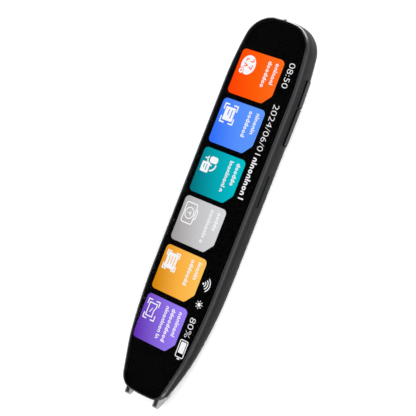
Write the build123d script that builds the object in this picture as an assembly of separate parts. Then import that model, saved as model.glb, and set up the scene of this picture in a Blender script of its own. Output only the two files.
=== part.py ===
"""Scanning translation pen: a touch-screen pen that reads text through a window at its nib.

Frame: millimetres. X across the pen with the side keys on +X, Y along the pen with the
top end at +Y and the nib at -Y, Z out through the screen. The flat of the back lies on z = 0
and the origin is on that flat, on the centre line.
"""
from build123d import *
from math import atan2, cos, degrees, radians, sin, sqrt, tan
import os

os.makedirs("parts", exist_ok=True)

# ---- body -----------------------------------------------------------------------------
body_w = 33.0             # full width across the sides
body_t = 11.8             # back flat to the face of the glass
top_y = 77.8              # top end
nose_y = -75.2            # end of the body at the nib
back_edge_r = 6.3         # round along the back's edges
rim_lean = (0.3, 2.2)     # the front frame's wall leans in this far over this height ...
rim_chamfer = 0.35        # ... and has a small bevel round the front
top_corner_r = 11.5       # plan corners at the top end
top_crown_r = 42.0        # slight crown of the top end
top_crown_deg = 5.5       # slope of the crown beside the corner
shoulder_r = 125.0        # gentle narrowing towards the top end
shoulder_deg = 8.6
shoulder_y = 58.0         # where the side's line meets the shoulder's line
taper_r = 300.0           # long narrowing towards the nib
taper_deg = 7.2
taper_y = -40.0           # where the side's line meets the taper's line
nose_shoulder_r = 85.0    # second, steeper narrowing
nose_shoulder_deg = 13.3
nose_shoulder_y = -57.0
nose_corner_r = 6.5
stretch_y = -83.7         # the back edges are rounded on a body that runs on to here, then cut short
stretch_r = 7.4
nose_crown_r = 60.0
nose_crown_deg = 3.5
belly_y = -14.0           # the flat of the back ends here and starts to rise
belly_r = 390.0
ramp_y = -61.5            # start of the steep ramp that holds the reading window
wall = 1.4                # side walls of the rear cover
floor_t = 1.3             # back wall of the rear cover
part_z = 9.2              # parting plane between rear cover and front frame
tip_edge_t = 0.5          # rear cover's height left at the very nose
ramp_edge_r = 0.8         # round along the ramp's sides
cheek_x = 11.45           # a slanted cheek each side of the nose passes this far out ...
cheek_y = -69.0           # ... here, at the parting plane; the rear cover ends at this place
cheek_lean = (0.857, -0.341, -0.383)   # outward direction of the right cheek's face

# ---- front stack ----------------------------------------------------------------------
glass_t = 0.8
glass_inset = 1.15        # outline of the glass inside the body's outline
glass_reach = 0.4         # it comes this much nearer to the two ends
glass_gap = 0.06
glass_edge_r = 0.25
tape_t = 0.15
tape_w = 0.45
panel_inset = 0.55        # display panel inside the glass's outline
panel_gap = 0.05
panel_end_y = -71.0
tray_t = 0.6              # floor of the frame under the display
skirt_h = 1.0             # frame's skirt inside the rear cover
skirt_w = 1.0
skirt_gap = 0.15
groove_h = 0.25           # shadow line at the parting plane
groove_d = 0.3
mic_notch_w = 1.2
mic_notch_d = 0.6
snap_w = 4.0
snap_h = 1.2
snap_barb_h = 0.6
snap_t = 0.8
snap_barb = 0.35
snap_gap = 0.1
snap_left_y = (56.0, 26.0, -2.0, -32.0)
snap_right_y = (26.0, -2.0, -32.0)
flex_slot_w = 12.0
flex_slot_l = 1.6
flex_foot = 3.0           # length of the ribbon on its connector

# ---- main board -----------------------------------------------------------------------
board_t = 0.8
board_top_z = 7.35
board_gap = 0.6           # board edge to the rear cover's wall
board_end_y = -44.0
boss_r = 2.0
boss_bore_r = 0.55
boss_bore_depth = 3.4
screw_r = 0.5
screw_head_r = 1.25
screw_head_t = 0.7
screw_len = 3.6
screw_socket_r = 0.55
board_hole_r = 0.7
boss_spots = (            # inset from the body's side, side, y
    (6.0, -1, 67.5), (6.0, 1, 67.5), (5.0, -1, 33.5), (5.2, -1, -38.0), (5.2, 1, -38.0),
)
can_t = 0.15              # sheet of the shield cans
can_h = 1.1
cans = ((-4.0, 42.5, 12.0, 15.0), (-6.5, -14.0, 11.0, 14.0))  # centre x, y, width, length
connector_t = 0.9
connectors = (            # centre x, centre y, width, length, on the upper side
    (0.0, -39.9, 7.4, 2.0, True),
    (-9.5, 29.0, 4.0, 3.0, True),
    (0.0, 34.6, 6.4, 2.0, False),
    (9.6, 62.5, 3.0, 2.4, False),
)
mic_size = (2.8, 1.9, 1.0)
mic_y = 71.6
mic_x = 7.4
mic_hole_r = 0.3
mic_hole_depth = 0.4

# ---- USB-C socket ---------------------------------------------------------------------
usb_w = 8.94              # shell outside
usb_h = 3.16
usb_shell_t = 0.3
usb_len = 7.3
usb_z = 6.5
usb_recess = 0.5          # mouth of the shell behind the top end
usb_gap = 0.12
tongue_w = 6.69
tongue_t = 0.7
tongue_len = 4.45
usb_back_t = 1.2
usb_notch_gap = 0.6       # board behind the shell

# ---- memory card socket ---------------------------------------------------------------
card_y = 13.9
card_slot_w = 12.6
card_slot_h = 1.0
card_sock_w = 14.0
card_sock_len = 14.4
card_sock_t = 1.5
card_sock_wall = 0.22
card_sock_end = 1.6       # closed inner end
card_sock_gap = 0.2
card_lead_in = 0.5

# ---- battery --------------------------------------------------------------------------
cell_side_gap = 5.0       # cell to the outside of the body on each side
cell_t = 3.8
cell_y = (-32.0, 28.0)
cell_edge_r = 1.2
foam_t = 0.6
foam_y = (-11.0, 26.0)
cell_board_t = 0.8
cell_board_l = 3.4
cell_board_inset = 3.0
foam_margin = 1.0

# ---- speaker --------------------------------------------------------------------------
speaker_y = 56.9
speaker_r = 6.7
speaker_h = 3.4
speaker_wall = 0.5
speaker_fit = 0.12
speaker_ring_t = 0.9
speaker_ring_h = 2.6
gasket_t = 0.6
gasket_w = 0.9
mesh_t = 0.15
dome_r = 4.6
dome_h = 0.7
cone_t = 0.2
cone_lap = 0.3
magnet_r = 3.35
magnet_gap = 1.0
grille_pitch = 1.93
grille_hole_r = 0.5
grille_far_deg = 10.9     # outer dots either side of each sector's middle
grille_ray = (3.95, 4.95)  # radial slots, centres of their round ends

# ---- camera on the back ---------------------------------------------------------------
camera_y = 42.0
trim_r = 5.85
trim_t = 0.85
trim_inset = 0.05
trim_fit = 0.1
trim_mouth_r = 2.35       # wide end of the funnel round the lens window
trim_bore_r = 1.9
lens_window_t = 0.4
trim_edge = 0.12
camera_boss_r = 7.0
barrel_r = 2.6
barrel_h = 1.6
camera_fit = 0.1
barrel_mouth = (1.5, 0.8, 0.6)  # radius in front, radius behind, depth
module_w = 8.0
module_h = 2.4
camera_flex_w = 5.0
camera_flex_end = 8.2

# ---- side keys ------------------------------------------------------------------------
key_z = 6.0
key_h = 2.4
key_proud = 0.6
key_gap = 0.18
key_travel = 0.4
key_edge_r = 0.3
key_flange = 0.7          # flange behind the wall, past the key's free end
key_flange_near = 0.22    # and past the end beside the other key
key_flange_t = 0.5
key_flange_foot = 0.8     # flange ends this far over the key's lower edge, clear of the rounded wall
key_rest_gap = 0.12       # flange to the wall at rest
power_key_y = (48.2, 58.8)
function_key_y = (32.9, 47.5)
dimple_r = 0.9
dimple_depth = 0.25
key_lead = 0.05           # nub past the switch's reach
key_board_inset = 4.8     # outer face of the upright key board, inside the body's side
key_board_t = 0.6
key_board_y = (33.4, 59.0)
key_board_h = 4.0
key_switch_w = 3.4
key_switch_t = 1.4
plunger_r = 0.75
plunger_fit = 0.06
plunger_in = 0.45         # plunger length inside its switch at rest
switch_floor = 0.3
nub_r = 0.9
holder_t = 0.8
holder_w = 2.2
holder_y = (36.5, 56.0)

# ---- scanning head and sprung fork ----------------------------------------------------
fork_in = 5.95            # inner face of each leg from the centre line
fork_leg_w = 2.2
fork_tip_y = -77.4
fork_heel_y = -69.5
fork_low_z = 3.0
fork_neck_z = 6.75        # underside of a leg where it passes over the ramp's wall
fork_knee = (-72.2, 3.4)
fork_brow_z = 8.3         # lower corner of the blunt tip
fork_knee_r = 6.0
fork_tip_r = 0.7
fork_heel_r = 0.4
fork_leg_z = (4.9, 8.3)   # the legs inside the body
fork_fin_top_gap = 0.3    # fin to the front frame above it
lip_z = 10.0              # underside of the frame over the fins
fork_step_y = -72.9
bar_y = (-53.5, -52.0)
bar_z = (5.2, 8.1)
fork_travel = 1.0
fork_side_gap = 0.3
notch_y = -66.5
pad_t = 1.5
pad_end_gap = 0.6
window_w = 11.2
window_t = 0.8
window_recess = 0.2
window_end_y = -73.6
window_gap = 0.2
window_bevel = 0.25
scoop_y = -57.6
scoop_step = 0.35
scoop_depth = 0.95
scoop_corner_r = 1.6
bracket_wall = 0.7
bracket_back_y = -53.6
bracket_floor = (4.4, 5.0)
bracket_top_gap = 0.3
lens_y = (-61.0, -57.4)
lens_r = 1.5
lens_bore_r = 0.8
lens_bore_depth = 0.8
lens_edge = 0.25
lens_z = 6.55
lens_fit = 0.04
lens_wall_y = (-59.4, -58.2)
sensor_board_y = (-56.0, -55.2)
sensor_board_w = 9.4
sensor_board_z = (5.0, 8.2)
sensor_size = (3.6, 0.9, 2.4)
led_board_w = 9.0
led_board_l = 1.8
led_board_gap = 0.3       # board to the front of the lens
led_board_t = 0.5
led_size = (1.6, 0.8, 0.6)
led_places = (-3.0, 3.0)
post_r = 0.9
post_places = ((-3.2, -56.4), (3.2, -56.4))
rib_y = (-48.5, -47.5)
rib_inset = 7.0           # rib's ends inside the body's side
rib_top_z = 8.2
spring_x = 6.6
spring_z = 6.7
spring_r = 0.95
spring_wire_r = 0.16
spring_turns = 4
nib_switch_w = 3.4
nib_switch_h = 2.2
nib_switch_y = (-50.8, -48.5)
nib_plunger_r = 0.5
nib_plunger_in = 0.5
nib_bore_rest = 0.1       # free bore past the plunger at full travel
ribbon_t = 0.15
ribbon_w = 6.0
scan_ribbon_w = 4.0
scan_ribbon_z = 8.35
scan_ribbon_lap = 1.2     # on to the board's end
antenna_t = 0.15
antenna_y = (-20.0, 12.0)
antenna_z = (6.35, 7.3)

# ---- sizes worked out from the ones above ---------------------------------------------
half_w = body_w / 2
cell_w = body_w - 2 * cell_side_gap
rib_w = body_w - 2 * rib_inset
key_board_x = half_w - key_board_inset
boss_places = [(side * (half_w - inset), y) for inset, side, y in boss_spots]
glass_low_z = body_t - glass_t
tape_low_z = glass_low_z - tape_t
tray_low_z = part_z - tray_t
board_low_z = board_top_z - board_t
belly_rise = belly_r - sqrt(belly_r ** 2 - (belly_y - ramp_y) ** 2)
ramp_deg = degrees(atan2(part_z - tip_edge_t - belly_rise, ramp_y - nose_y))
fork_out = fork_in + fork_leg_w
fork_top_z = lip_z - fork_fin_top_gap
reach = 2 * top_y         # longer than anything here, for cutting solids
past = 1.0                # how far a cut runs past the face it opens
strip_l = 0.02            # length of the slice that a width is measured on
camera_floor_z = trim_inset + trim_t + barrel_h
display_flex_y = board_end_y + 6.0


def slab(x0, x1, y0, y1, z0, z1):
    """Box between two corners."""
    return Pos((x0 + x1) / 2, (y0 + y1) / 2, (z0 + z1) / 2) * Box(x1 - x0, y1 - y0, z1 - z0)


def rod(radius, x, y, z0, z1):
    """Upright cylinder between two heights."""
    return Pos(x, y, (z0 + z1) / 2) * Cylinder(radius, z1 - z0)


def rod_along_y(radius, x, z, y0, y1):
    """Cylinder lying along Y."""
    return Pos(x, (y0 + y1) / 2, z) * Rot(90, 0, 0) * Cylinder(radius, y1 - y0)


def rod_along_x(radius, y, z, x0, x1):
    """Cylinder lying along X."""
    return Pos((x0 + x1) / 2, y, z) * Rot(0, 90, 0) * Cylinder(radius, x1 - x0)


def side_prism(points, x0, x1):
    """Solid with an outline given as (y, z) points, reaching from x0 to x1."""
    outline = Wire.make_polygon([(x0, y, z) for y, z in points], close=True)
    return extrude(Face(outline), amount=x1 - x0, dir=(1, 0, 0))


def rounded_face(corners):
    """Face inside straight sides and tangent arcs, from (point, radius) corners in order.

    An arc that would run into its neighbour's is held to its share of the side between them.
    """
    points = [point for point, _ in corners]
    halves = []
    for k, point in enumerate(points):
        turn = (points[k - 1] - point).get_angle(points[(k + 1) % len(points)] - point)
        halves.append(radians(turn / 2))
    wanted = [radius / tan(half) for (_, radius), half in zip(corners, halves)]
    arcs, edges = [], []
    for k, point in enumerate(points):
        nexts = (k + 1) % len(points)
        before, after = points[k - 1] - point, points[nexts] - point
        share = min(1.0, 0.98 * before.length / max(wanted[k] + wanted[k - 1], 1e-6),
                    0.98 * after.length / max(wanted[k] + wanted[nexts], 1e-6))
        reach_in = wanted[k] * share
        to_centre = (before.normalized() + after.normalized()).normalized()
        depth = reach_in / cos(halves[k]) - reach_in * tan(halves[k])
        arcs.append((point + before.normalized() * reach_in, point + to_centre * depth,
                     point + after.normalized() * reach_in))
    for k, (first, middle, last) in enumerate(arcs):
        came_from = arcs[k - 1][2]
        if (first - came_from).length > 1e-6:
            edges.append(Edge.make_line(came_from, first))
        if (last - first).length > 1e-6:
            edges.append(Edge.make_three_point_arc(first, middle, last))
    return Face(Wire(edges))


def moved_in(corners, inset):
    """The same convex outline with every side moved in, listed clockwise in the XY plane."""
    result = []
    for k, (point, radius) in enumerate(corners):
        along_in = (point - corners[k - 1][0]).normalized()
        along_out = (corners[(k + 1) % len(corners)][0] - point).normalized()
        inward = Vector(along_in.Y, -along_in.X) + Vector(along_out.Y, -along_out.X)
        result.append((point + inward * (inset / (1 + along_in.dot(along_out))), radius - inset))
    return result


def plan_face(inset=0.0, end_y=nose_y, end_r=nose_corner_r, head_y=top_y):
    """The body's outline seen from the front, moved in by inset (or out, if negative)."""
    taper_x = half_w - (taper_y - nose_shoulder_y) * tan(radians(taper_deg))
    nose_x = taper_x - (nose_shoulder_y - end_y) * tan(radians(nose_shoulder_deg))
    top_x = half_w - (head_y - shoulder_y) * tan(radians(shoulder_deg))
    top_drop = top_x * tan(radians(top_crown_deg))
    top_bow = top_crown_r * (1 / cos(radians(top_crown_deg)) - 1)
    nose_drop = nose_x * tan(radians(nose_crown_deg))
    nose_bow = nose_crown_r * (1 / cos(radians(nose_crown_deg)) - 1)
    right = (
        (top_x, head_y + top_bow - top_drop, top_corner_r),
        (half_w, shoulder_y, shoulder_r),
        (half_w, taper_y, taper_r),
        (taper_x, nose_shoulder_y, nose_shoulder_r),
        (nose_x, end_y - nose_bow + nose_drop, end_r),
    )
    left = tuple((-x, y, r) for x, y, r in reversed(right))
    outline = ((0, head_y + top_bow, top_crown_r), *right, (0, end_y - nose_bow, nose_crown_r), *left)
    corners = [(Vector(x, y), radius) for x, y, radius in outline]
    return rounded_face(moved_in(corners, inset))


def plan_solid(inset, z0, z1):
    """Prism of the outline between two heights."""
    return Pos(0, 0, z0) * extrude(plan_face(inset), amount=z1 - z0, dir=(0, 0, 1))


def glass_solid(inset, z0, z1):
    """Prism of the glass's opening, moved in by inset, between two heights."""
    face = plan_face(glass_inset + inset, nose_y - glass_reach, nose_corner_r, top_y + glass_reach)
    return Pos(0, 0, z0) * extrude(face, amount=z1 - z0, dir=(0, 0, 1))


def belly_cut(inset):
    """What lies behind the rising back, with the back moved in by inset."""
    radius = belly_r - inset
    centre_z = belly_r
    end_y = stretch_y - back_edge_r
    end_z = centre_z - sqrt(radius ** 2 - (belly_y - end_y) ** 2)
    mid_y = (belly_y + end_y) / 2
    mid_z = centre_z - sqrt(radius ** 2 - (belly_y - mid_y) ** 2)
    start, middle, end = (-reach, belly_y, inset), (-reach, mid_y, mid_z), (-reach, end_y, end_z)
    low_start, low_end = (-reach, belly_y, -reach), (-reach, end_y, -reach)
    edges = [Edge.make_three_point_arc(start, middle, end), Edge.make_line(end, low_end),
             Edge.make_line(low_end, low_start), Edge.make_line(low_start, start)]
    return extrude(Face(Wire(edges)), amount=2 * reach, dir=(1, 0, 0))


def belly_height(y):
    """Height of the rising back's surface at y."""
    return belly_r - sqrt(belly_r ** 2 - (belly_y - y) ** 2)


def ramp_z(y, inset=0.0):
    """Height of the ramp's plane at y, with the plane moved in by inset."""
    return belly_rise + (ramp_y - y) * tan(radians(ramp_deg)) + inset / cos(radians(ramp_deg))


def ramp_y_at(z, inset=0.0):
    """Where along the pen the ramp's plane, moved in by inset, has the height z."""
    return ramp_y - (z - belly_rise - inset / cos(radians(ramp_deg))) / tan(radians(ramp_deg))


def ramp_cut(inset):
    """What lies behind the ramp."""
    start_y = ramp_y + back_edge_r
    end_y = nose_y - back_edge_r
    points = ((start_y, ramp_z(start_y, inset)), (end_y, ramp_z(end_y, inset)), (end_y, -reach),
              (start_y, -reach))
    return side_prism(points, -reach, reach)


def cheek_cut(side, inset):
    """What lies outside the slanted cheek of one side, behind the parting plane."""
    lean = Vector(side * cheek_lean[0], cheek_lean[1], cheek_lean[2]).normalized()
    face = Plane(Vector(side * cheek_x, cheek_y, part_z) - lean * inset, z_dir=lean)
    block = extrude(face * Rectangle(reach, reach), amount=reach, dir=lean)
    return block & slab(-reach, reach, -reach, reach, -reach, part_z)


def body_solid(side_inset, back_inset):
    """The whole outer shape, or with insets the space inside its walls."""
    face = Pos(0, 0, back_inset) * plan_face(side_inset, stretch_y, stretch_r)
    solid = extrude(face, amount=body_t - back_inset, dir=(0, 0, 1)) - belly_cut(back_inset)
    seam = Vector(0, belly_y, back_inset)
    low_faces = [f for f in solid.faces() if f.normal_at().Z < -0.9]
    low_edges = [e for f in low_faces for e in f.edges() if (e.center() - seam).length > 0.5]
    solid = fillet(low_edges, back_edge_r - back_inset) & plan_solid(side_inset, back_inset, body_t)
    return solid - [ramp_cut(back_inset), cheek_cut(1, side_inset), cheek_cut(-1, side_inset)]


def front_form():
    """Prism of the outline whose walls lean in near the front and whose front rim is bevelled."""
    solid = plan_solid(0, 0, body_t)
    front = solid.faces().sort_by(Axis.Z)[-1]
    solid = chamfer(front.edges(), rim_lean[0], rim_lean[1], reference=front)
    return chamfer(solid.faces().sort_by(Axis.Z)[-1].edges(), rim_chamfer)


def outer_solid():
    """Body with its back edges rounded and its front as front_form makes it."""
    solid = body_solid(0, 0) & front_form()
    ramp = [f for f in solid.faces() if f.geom_type == GeomType.PLANE
            and f.normal_at().Z < -0.5 and f.center().Y < ramp_y]
    sides = [e for e in max(ramp, key=lambda f: f.area).edges() if abs(e.center().X) > fork_out / 2]
    return fillet(sides, ramp_edge_r)


def above(z):
    return slab(-reach, reach, -reach, reach, z, reach)


def below(z):
    return slab(-reach, reach, -reach, reach, -reach, z)


outer = outer_solid()
inside = body_solid(wall, floor_t)
skirt_space = body_solid(wall + skirt_gap, floor_t + skirt_gap)
mid_wall = body_solid(wall / 2, floor_t / 2)
inner_half_w = half_w - wall


# ---- casing ---------------------------------------------------------------------------
def wall_band(side, inset_out, inset_in, y0, y1, z0, z1):
    """Piece of one long wall between two insets, on the right (1) or on the left (-1)."""
    band = plan_solid(inset_out, z0, z1) - plan_solid(inset_in, z0, z1)
    return band & slab(min(0, side * reach), max(0, side * reach), y0, y1, z0, z1)


def snap_tab(y, side, grow):
    """A hook under the frame's skirt, or with grow the pocket that it catches in."""
    low_z = tray_low_z - snap_h
    face, back = wall + skirt_gap, wall + skirt_gap + snap_t
    barb = wall_band(side, wall - snap_barb - grow, back, y - snap_w / 2 - grow, y + snap_w / 2 + grow,
                     low_z - grow, low_z + snap_barb_h + grow)
    if grow:
        return barb
    return barb + wall_band(side, face, back, y - snap_w / 2, y + snap_w / 2, low_z, part_z)


def snap_places():
    return [(y, -1) for y in snap_left_y] + [(y, 1) for y in snap_right_y]


def card_slot_space():
    """Slot for the memory card through the side, from the mouth of its socket outwards."""
    z = board_top_z + card_sock_t / 2
    return slab(inner_half_w - card_lead_in, reach, card_y - card_slot_w / 2, card_y + card_slot_w / 2,
                z - card_slot_h / 2, z + card_slot_h / 2)


def usb_prism(width, height, y0, y1):
    """Round-ended block of the USB-C section, centred on the port's axis."""
    face = SlotOverall(width, height)
    return Pos(0, y1, usb_z) * Rot(90, 0, 0) * extrude(face, amount=y1 - y0)


def side_x(y):
    """Half of the body's width at y."""
    strip = plan_solid(0, 0, past) & slab(0, reach, y - strip_l / 2, y + strip_l / 2, 0, past)
    return strip.bounding_box().max.X


def key_place(span):
    """The middle of a key's span on the wall's face, turned to follow the side there."""
    x0, x1 = side_x(span[0]), side_x(span[1])
    turn = degrees(atan2(x0 - x1, span[1] - span[0]))
    return Pos((x0 + x1) / 2, (span[0] + span[1]) / 2, key_z) * Rot(0, 0, turn)


def key_block(span, x0, x1, grow=0.0):
    """Block through the wall at a key, between two distances from the wall's face."""
    half_l, half_h = (span[1] - span[0]) / 2 + grow, key_h / 2 + grow
    return key_place(span) * slab(x0, x1, -half_l, half_l, -half_h, half_h)


def polar(radius, deg):
    return radius * cos(radians(deg)), radius * sin(radians(deg))


def grille_cuts():
    """Sound holes: a hexagonal pattern of dots with six radial slots among them."""
    places = [(0.0, 0.0)]
    for sector in range(0, 360, 60):
        places.append(polar(grille_pitch, sector + 30))
        places.append(polar(grille_pitch * sqrt(3), sector))
        places.append(polar(grille_pitch * sqrt(7), sector - grille_far_deg))
        places.append(polar(grille_pitch * sqrt(7), sector + grille_far_deg))
    holes = [rod(grille_hole_r, x, speaker_y + y, -past, floor_t + past) for x, y in places]
    length = grille_ray[1] - grille_ray[0]
    middle = (grille_ray[0] + grille_ray[1]) / 2
    for sector in range(0, 360, 60):
        slot = extrude(SlotCenterToCenter(length, 2 * grille_hole_r), amount=floor_t + 2 * past)
        holes.append(Pos(0, speaker_y, -past) * Rot(0, 0, sector + 30) * Pos(middle, 0, 0) * slot)
    return holes


def scoop_cut():
    """Shallow scoop that leads into the reading window."""
    half = window_w / 2 + window_gap
    points = ((scoop_y, -past), (scoop_y, belly_height(scoop_y) + scoop_step),
              (ramp_y, belly_rise + scoop_depth), (ramp_y - past, belly_rise + scoop_depth),
              (ramp_y - past, -past))
    solid = side_prism(points, -half, half)
    upright = [e for e in solid.edges().filter_by(Axis.Z) if e.center().Y > scoop_y - window_gap]
    return fillet(upright, scoop_corner_r)


def cover_adds():
    """Bosses, rings, ribs and posts inside the rear cover."""
    root_z = floor_t / 2
    adds = [rod(boss_r, x, y, root_z, board_low_z) for x, y in boss_places]
    ring_r = speaker_r + speaker_fit + speaker_ring_t
    adds.append(rod(ring_r, 0, speaker_y, root_z, floor_t + speaker_ring_h))
    adds.append(rod(camera_boss_r, 0, camera_y, root_z, camera_floor_z))
    adds += [rod(post_r, x, y, belly_height(y), bracket_floor[0]) for x, y in post_places]
    adds.append(slab(-rib_w / 2, rib_w / 2, rib_y[0], rib_y[1], belly_height(rib_y[0]), rib_top_z))
    board_x = key_board_x - key_board_t
    for y in holder_y:
        y0, y1 = y - holder_w / 2, y + holder_w / 2
        adds.append(slab(board_x - holder_t, board_x, y0, y1, root_z, key_z + key_board_h / 2))
        adds.append(slab(board_x, key_board_x, y0, y1, root_z, key_z - key_board_h / 2))
    return adds


def rear_cover():
    """Deep back shell with its fittings inside and its openings."""
    shell = (outer & below(part_z)) - (inside & below(part_z + past))
    shell += [add & mid_wall for add in cover_adds()]
    groove = plan_solid(-past, part_z - groove_h, part_z) - plan_solid(groove_d, part_z - groove_h, part_z)
    cuts = [groove, slab(-reach, reach, nose_y - past, cheek_y, 0, part_z)]
    cuts.append(rod(speaker_r + speaker_fit, 0, speaker_y, floor_t, part_z))
    cuts += [rod(boss_bore_r, x, y, board_low_z - boss_bore_depth, part_z) for x, y in boss_places]
    cuts += grille_cuts()
    cuts.append(rod(trim_r + trim_fit, 0, camera_y, -past, trim_t + trim_inset))
    cuts.append(rod(barrel_r + camera_fit, 0, camera_y, -past, part_z))
    cuts.append(usb_prism(usb_w + 2 * usb_gap, usb_h + 2 * usb_gap, top_y - usb_len, top_y + past))
    cuts.append(card_slot_space())
    cuts += [key_block(span, -2 * wall, 2 * wall, key_gap) for span in (power_key_y, function_key_y)]
    cuts += [snap_tab(y, side, snap_gap) for y, side in snap_places()]
    half = window_w / 2 + window_gap
    cuts.append(slab(-half, half, nose_y - past, ramp_y, 0, part_z))
    notch_half = fork_out + fork_side_gap
    cuts.append(slab(-notch_half, notch_half, nose_y - past, notch_y, 0, part_z))
    cuts.append(scoop_cut())
    return shell - cuts


def front_frame():
    """Front rim, its skirt inside the cover, and the tray under the display."""
    frame = (outer & above(part_z)) - glass_solid(0, tape_low_z, body_t + past)
    pocket = glass_solid(panel_inset - panel_gap, part_z, glass_low_z)
    frame -= pocket & slab(-reach, reach, panel_end_y - panel_gap, reach, 0, body_t)
    skirt = skirt_space & slab(-reach, reach, cheek_y + skirt_gap, reach, part_z - skirt_h, part_z)
    frame += skirt - plan_solid(wall + skirt_gap + skirt_w, 0, tray_low_z)
    frame += [snap_tab(y, side, 0) for y, side in snap_places()]
    notch_x = fork_out + fork_side_gap
    cuts = [slab(-notch_x, notch_x, nose_y, notch_y, 0, tray_low_z)]
    lip_y = fork_step_y + fork_travel + fork_side_gap
    cuts.append(slab(-reach, reach, nose_y - past, lip_y, 0, lip_z))
    cuts.append(slab(-flex_slot_w / 2, flex_slot_w / 2, display_flex_y - flex_slot_l / 2,
                     display_flex_y + flex_slot_l / 2, 0, part_z))
    sock_half = card_sock_w / 2 + card_sock_gap
    cuts.append(slab(inner_half_w - card_sock_len - past, half_w, card_y - sock_half, card_y + sock_half,
                     0, board_top_z + card_sock_t + panel_gap))
    cuts.append(slab(-mic_notch_w / 2, mic_notch_w / 2, top_y - mic_notch_d, top_y + past,
                     glass_low_z - mic_notch_d, body_t + past))
    return frame - cuts


# ---- front stack ----------------------------------------------------------------------
def cover_glass():
    """Black-bordered touch glass with a softened front edge."""
    glass = glass_solid(glass_gap, glass_low_z, body_t)
    return fillet(glass.faces().sort_by(Axis.Z)[-1].edges(), glass_edge_r)


def glass_tape():
    """Adhesive ring that holds the glass on the frame's ledge."""
    ring = glass_solid(glass_gap, tape_low_z, glass_low_z)
    return ring - glass_solid(glass_gap + tape_w - 2 * panel_gap, tape_low_z, glass_low_z)


def display_panel():
    panel = glass_solid(panel_inset + panel_gap, part_z, glass_low_z)
    return panel & slab(-reach, reach, panel_end_y, reach, 0, body_t)


def display_flex():
    """Ribbon from the display's back, through the tray, to the board."""
    y = display_flex_y
    drop = slab(-ribbon_w / 2, ribbon_w / 2, y, y + ribbon_t, board_top_z + connector_t, part_z)
    foot = slab(-ribbon_w / 2, ribbon_w / 2, y - flex_foot, y + ribbon_t, board_top_z + connector_t,
                board_top_z + connector_t + ribbon_t)
    return drop + foot


# ---- main board and what it carries ---------------------------------------------------
def main_board():
    """Board with openings for the USB socket, the key board and its screws."""
    board = plan_solid(wall + board_gap, board_low_z, board_top_z)
    board &= slab(-reach, reach, board_end_y, reach, 0, body_t)
    board -= slab(-usb_w / 2 - usb_gap, usb_w / 2 + usb_gap, top_y - usb_recess - usb_len - usb_notch_gap,
                  reach, 0, body_t)
    board -= slab(key_board_x - key_board_t - holder_t - board_gap, reach,
                  function_key_y[0] - key_flange - board_gap,
                  power_key_y[1] + key_flange + board_gap, 0, body_t)
    return board - [rod(board_hole_r, x, y, 0, body_t) for x, y in boss_places]


def board_screws():
    """Self-tapping screws that hold the board on the cover's bosses."""
    screws = []
    for x, y in boss_places:
        head = rod(screw_head_r, x, y, board_top_z, board_top_z + screw_head_t)
        head -= rod(screw_socket_r, x, y, board_top_z + screw_head_t / 2, part_z)
        screws.append(head + rod(screw_r, x, y, board_top_z - screw_len, board_top_z))
    return screws


def shield_cans():
    """Folded sheet lids over the processor and the radio."""
    lids = []
    for x, y, w, l in cans:
        lid = slab(x - w / 2, x + w / 2, y - l / 2, y + l / 2, board_top_z, board_top_z + can_h)
        lids.append(lid - slab(x - w / 2 + can_t, x + w / 2 - can_t, y - l / 2 + can_t, y + l / 2 - can_t,
                               board_top_z, board_top_z + can_h - can_t))
    return lids


def board_connectors():
    """Connectors for the display, battery, camera and speaker, on both sides of the board."""
    blocks = []
    for x, y, w, l, on_top in connectors:
        z0 = board_top_z if on_top else board_low_z - connector_t
        blocks.append(slab(x - w / 2, x + w / 2, y - l / 2, y + l / 2, z0, z0 + connector_t))
    return blocks


def microphone():
    w, l, h = mic_size
    can = slab(mic_x - w / 2, mic_x + w / 2, mic_y - l / 2, mic_y + l / 2, board_top_z, board_top_z + h)
    return can - rod(mic_hole_r, mic_x, mic_y, board_top_z + h - mic_hole_depth, board_top_z + h)


def usb_shell():
    """Drawn shell of the port, open at the mouth."""
    mouth_y = top_y - usb_recess
    shell = usb_prism(usb_w, usb_h, mouth_y - usb_len, mouth_y)
    return shell - usb_prism(usb_w - 2 * usb_shell_t, usb_h - 2 * usb_shell_t, mouth_y - usb_len, mouth_y)


def usb_tongue():
    """Moulded insert: a block at the back with the contact tongue on it."""
    back_y = top_y - usb_recess - usb_len
    block = usb_prism(usb_w - 2 * usb_shell_t, usb_h - 2 * usb_shell_t, back_y, back_y + usb_back_t)
    tongue = slab(-tongue_w / 2, tongue_w / 2, back_y, back_y + usb_back_t + tongue_len,
                  usb_z - tongue_t / 2, usb_z + tongue_t / 2)
    return block + tongue


def card_socket():
    """Pressed metal socket for the memory card, open towards the side wall."""
    outer_x = inner_half_w - skirt_gap
    body = slab(outer_x - card_sock_len, outer_x, card_y - card_sock_w / 2, card_y + card_sock_w / 2,
                board_top_z, board_top_z + card_sock_t)
    hollow = slab(outer_x - card_sock_len + card_sock_end, outer_x + past, card_y - card_slot_w / 2,
                  card_y + card_slot_w / 2, board_top_z + card_sock_wall,
                  board_top_z + card_sock_t - card_sock_wall)
    return body - hollow


# ---- battery --------------------------------------------------------------------------
def battery_cell():
    """Pouch cell, rounded along its long edges."""
    z0 = floor_t + foam_t
    cell = slab(-cell_w / 2, cell_w / 2, cell_y[0], cell_y[1], z0, z0 + cell_t)
    return fillet(cell.edges().filter_by(Axis.Y), cell_edge_r)


def battery_foam():
    half = cell_w / 2 - cell_edge_r - foam_margin
    return slab(-half, half, foam_y[0], foam_y[1], floor_t, floor_t + foam_t)


def battery_board():
    """Protection board folded against the end of the cell."""
    z = floor_t + foam_t + cell_t / 2
    half = cell_w / 2 - cell_board_inset
    return slab(-half, half, cell_y[1], cell_y[1] + cell_board_l, z - cell_board_t / 2, z + cell_board_t / 2)


# ---- speaker --------------------------------------------------------------------------
def speaker_mesh():
    return rod(speaker_r - gasket_w, 0, speaker_y, floor_t, floor_t + mesh_t)


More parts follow.
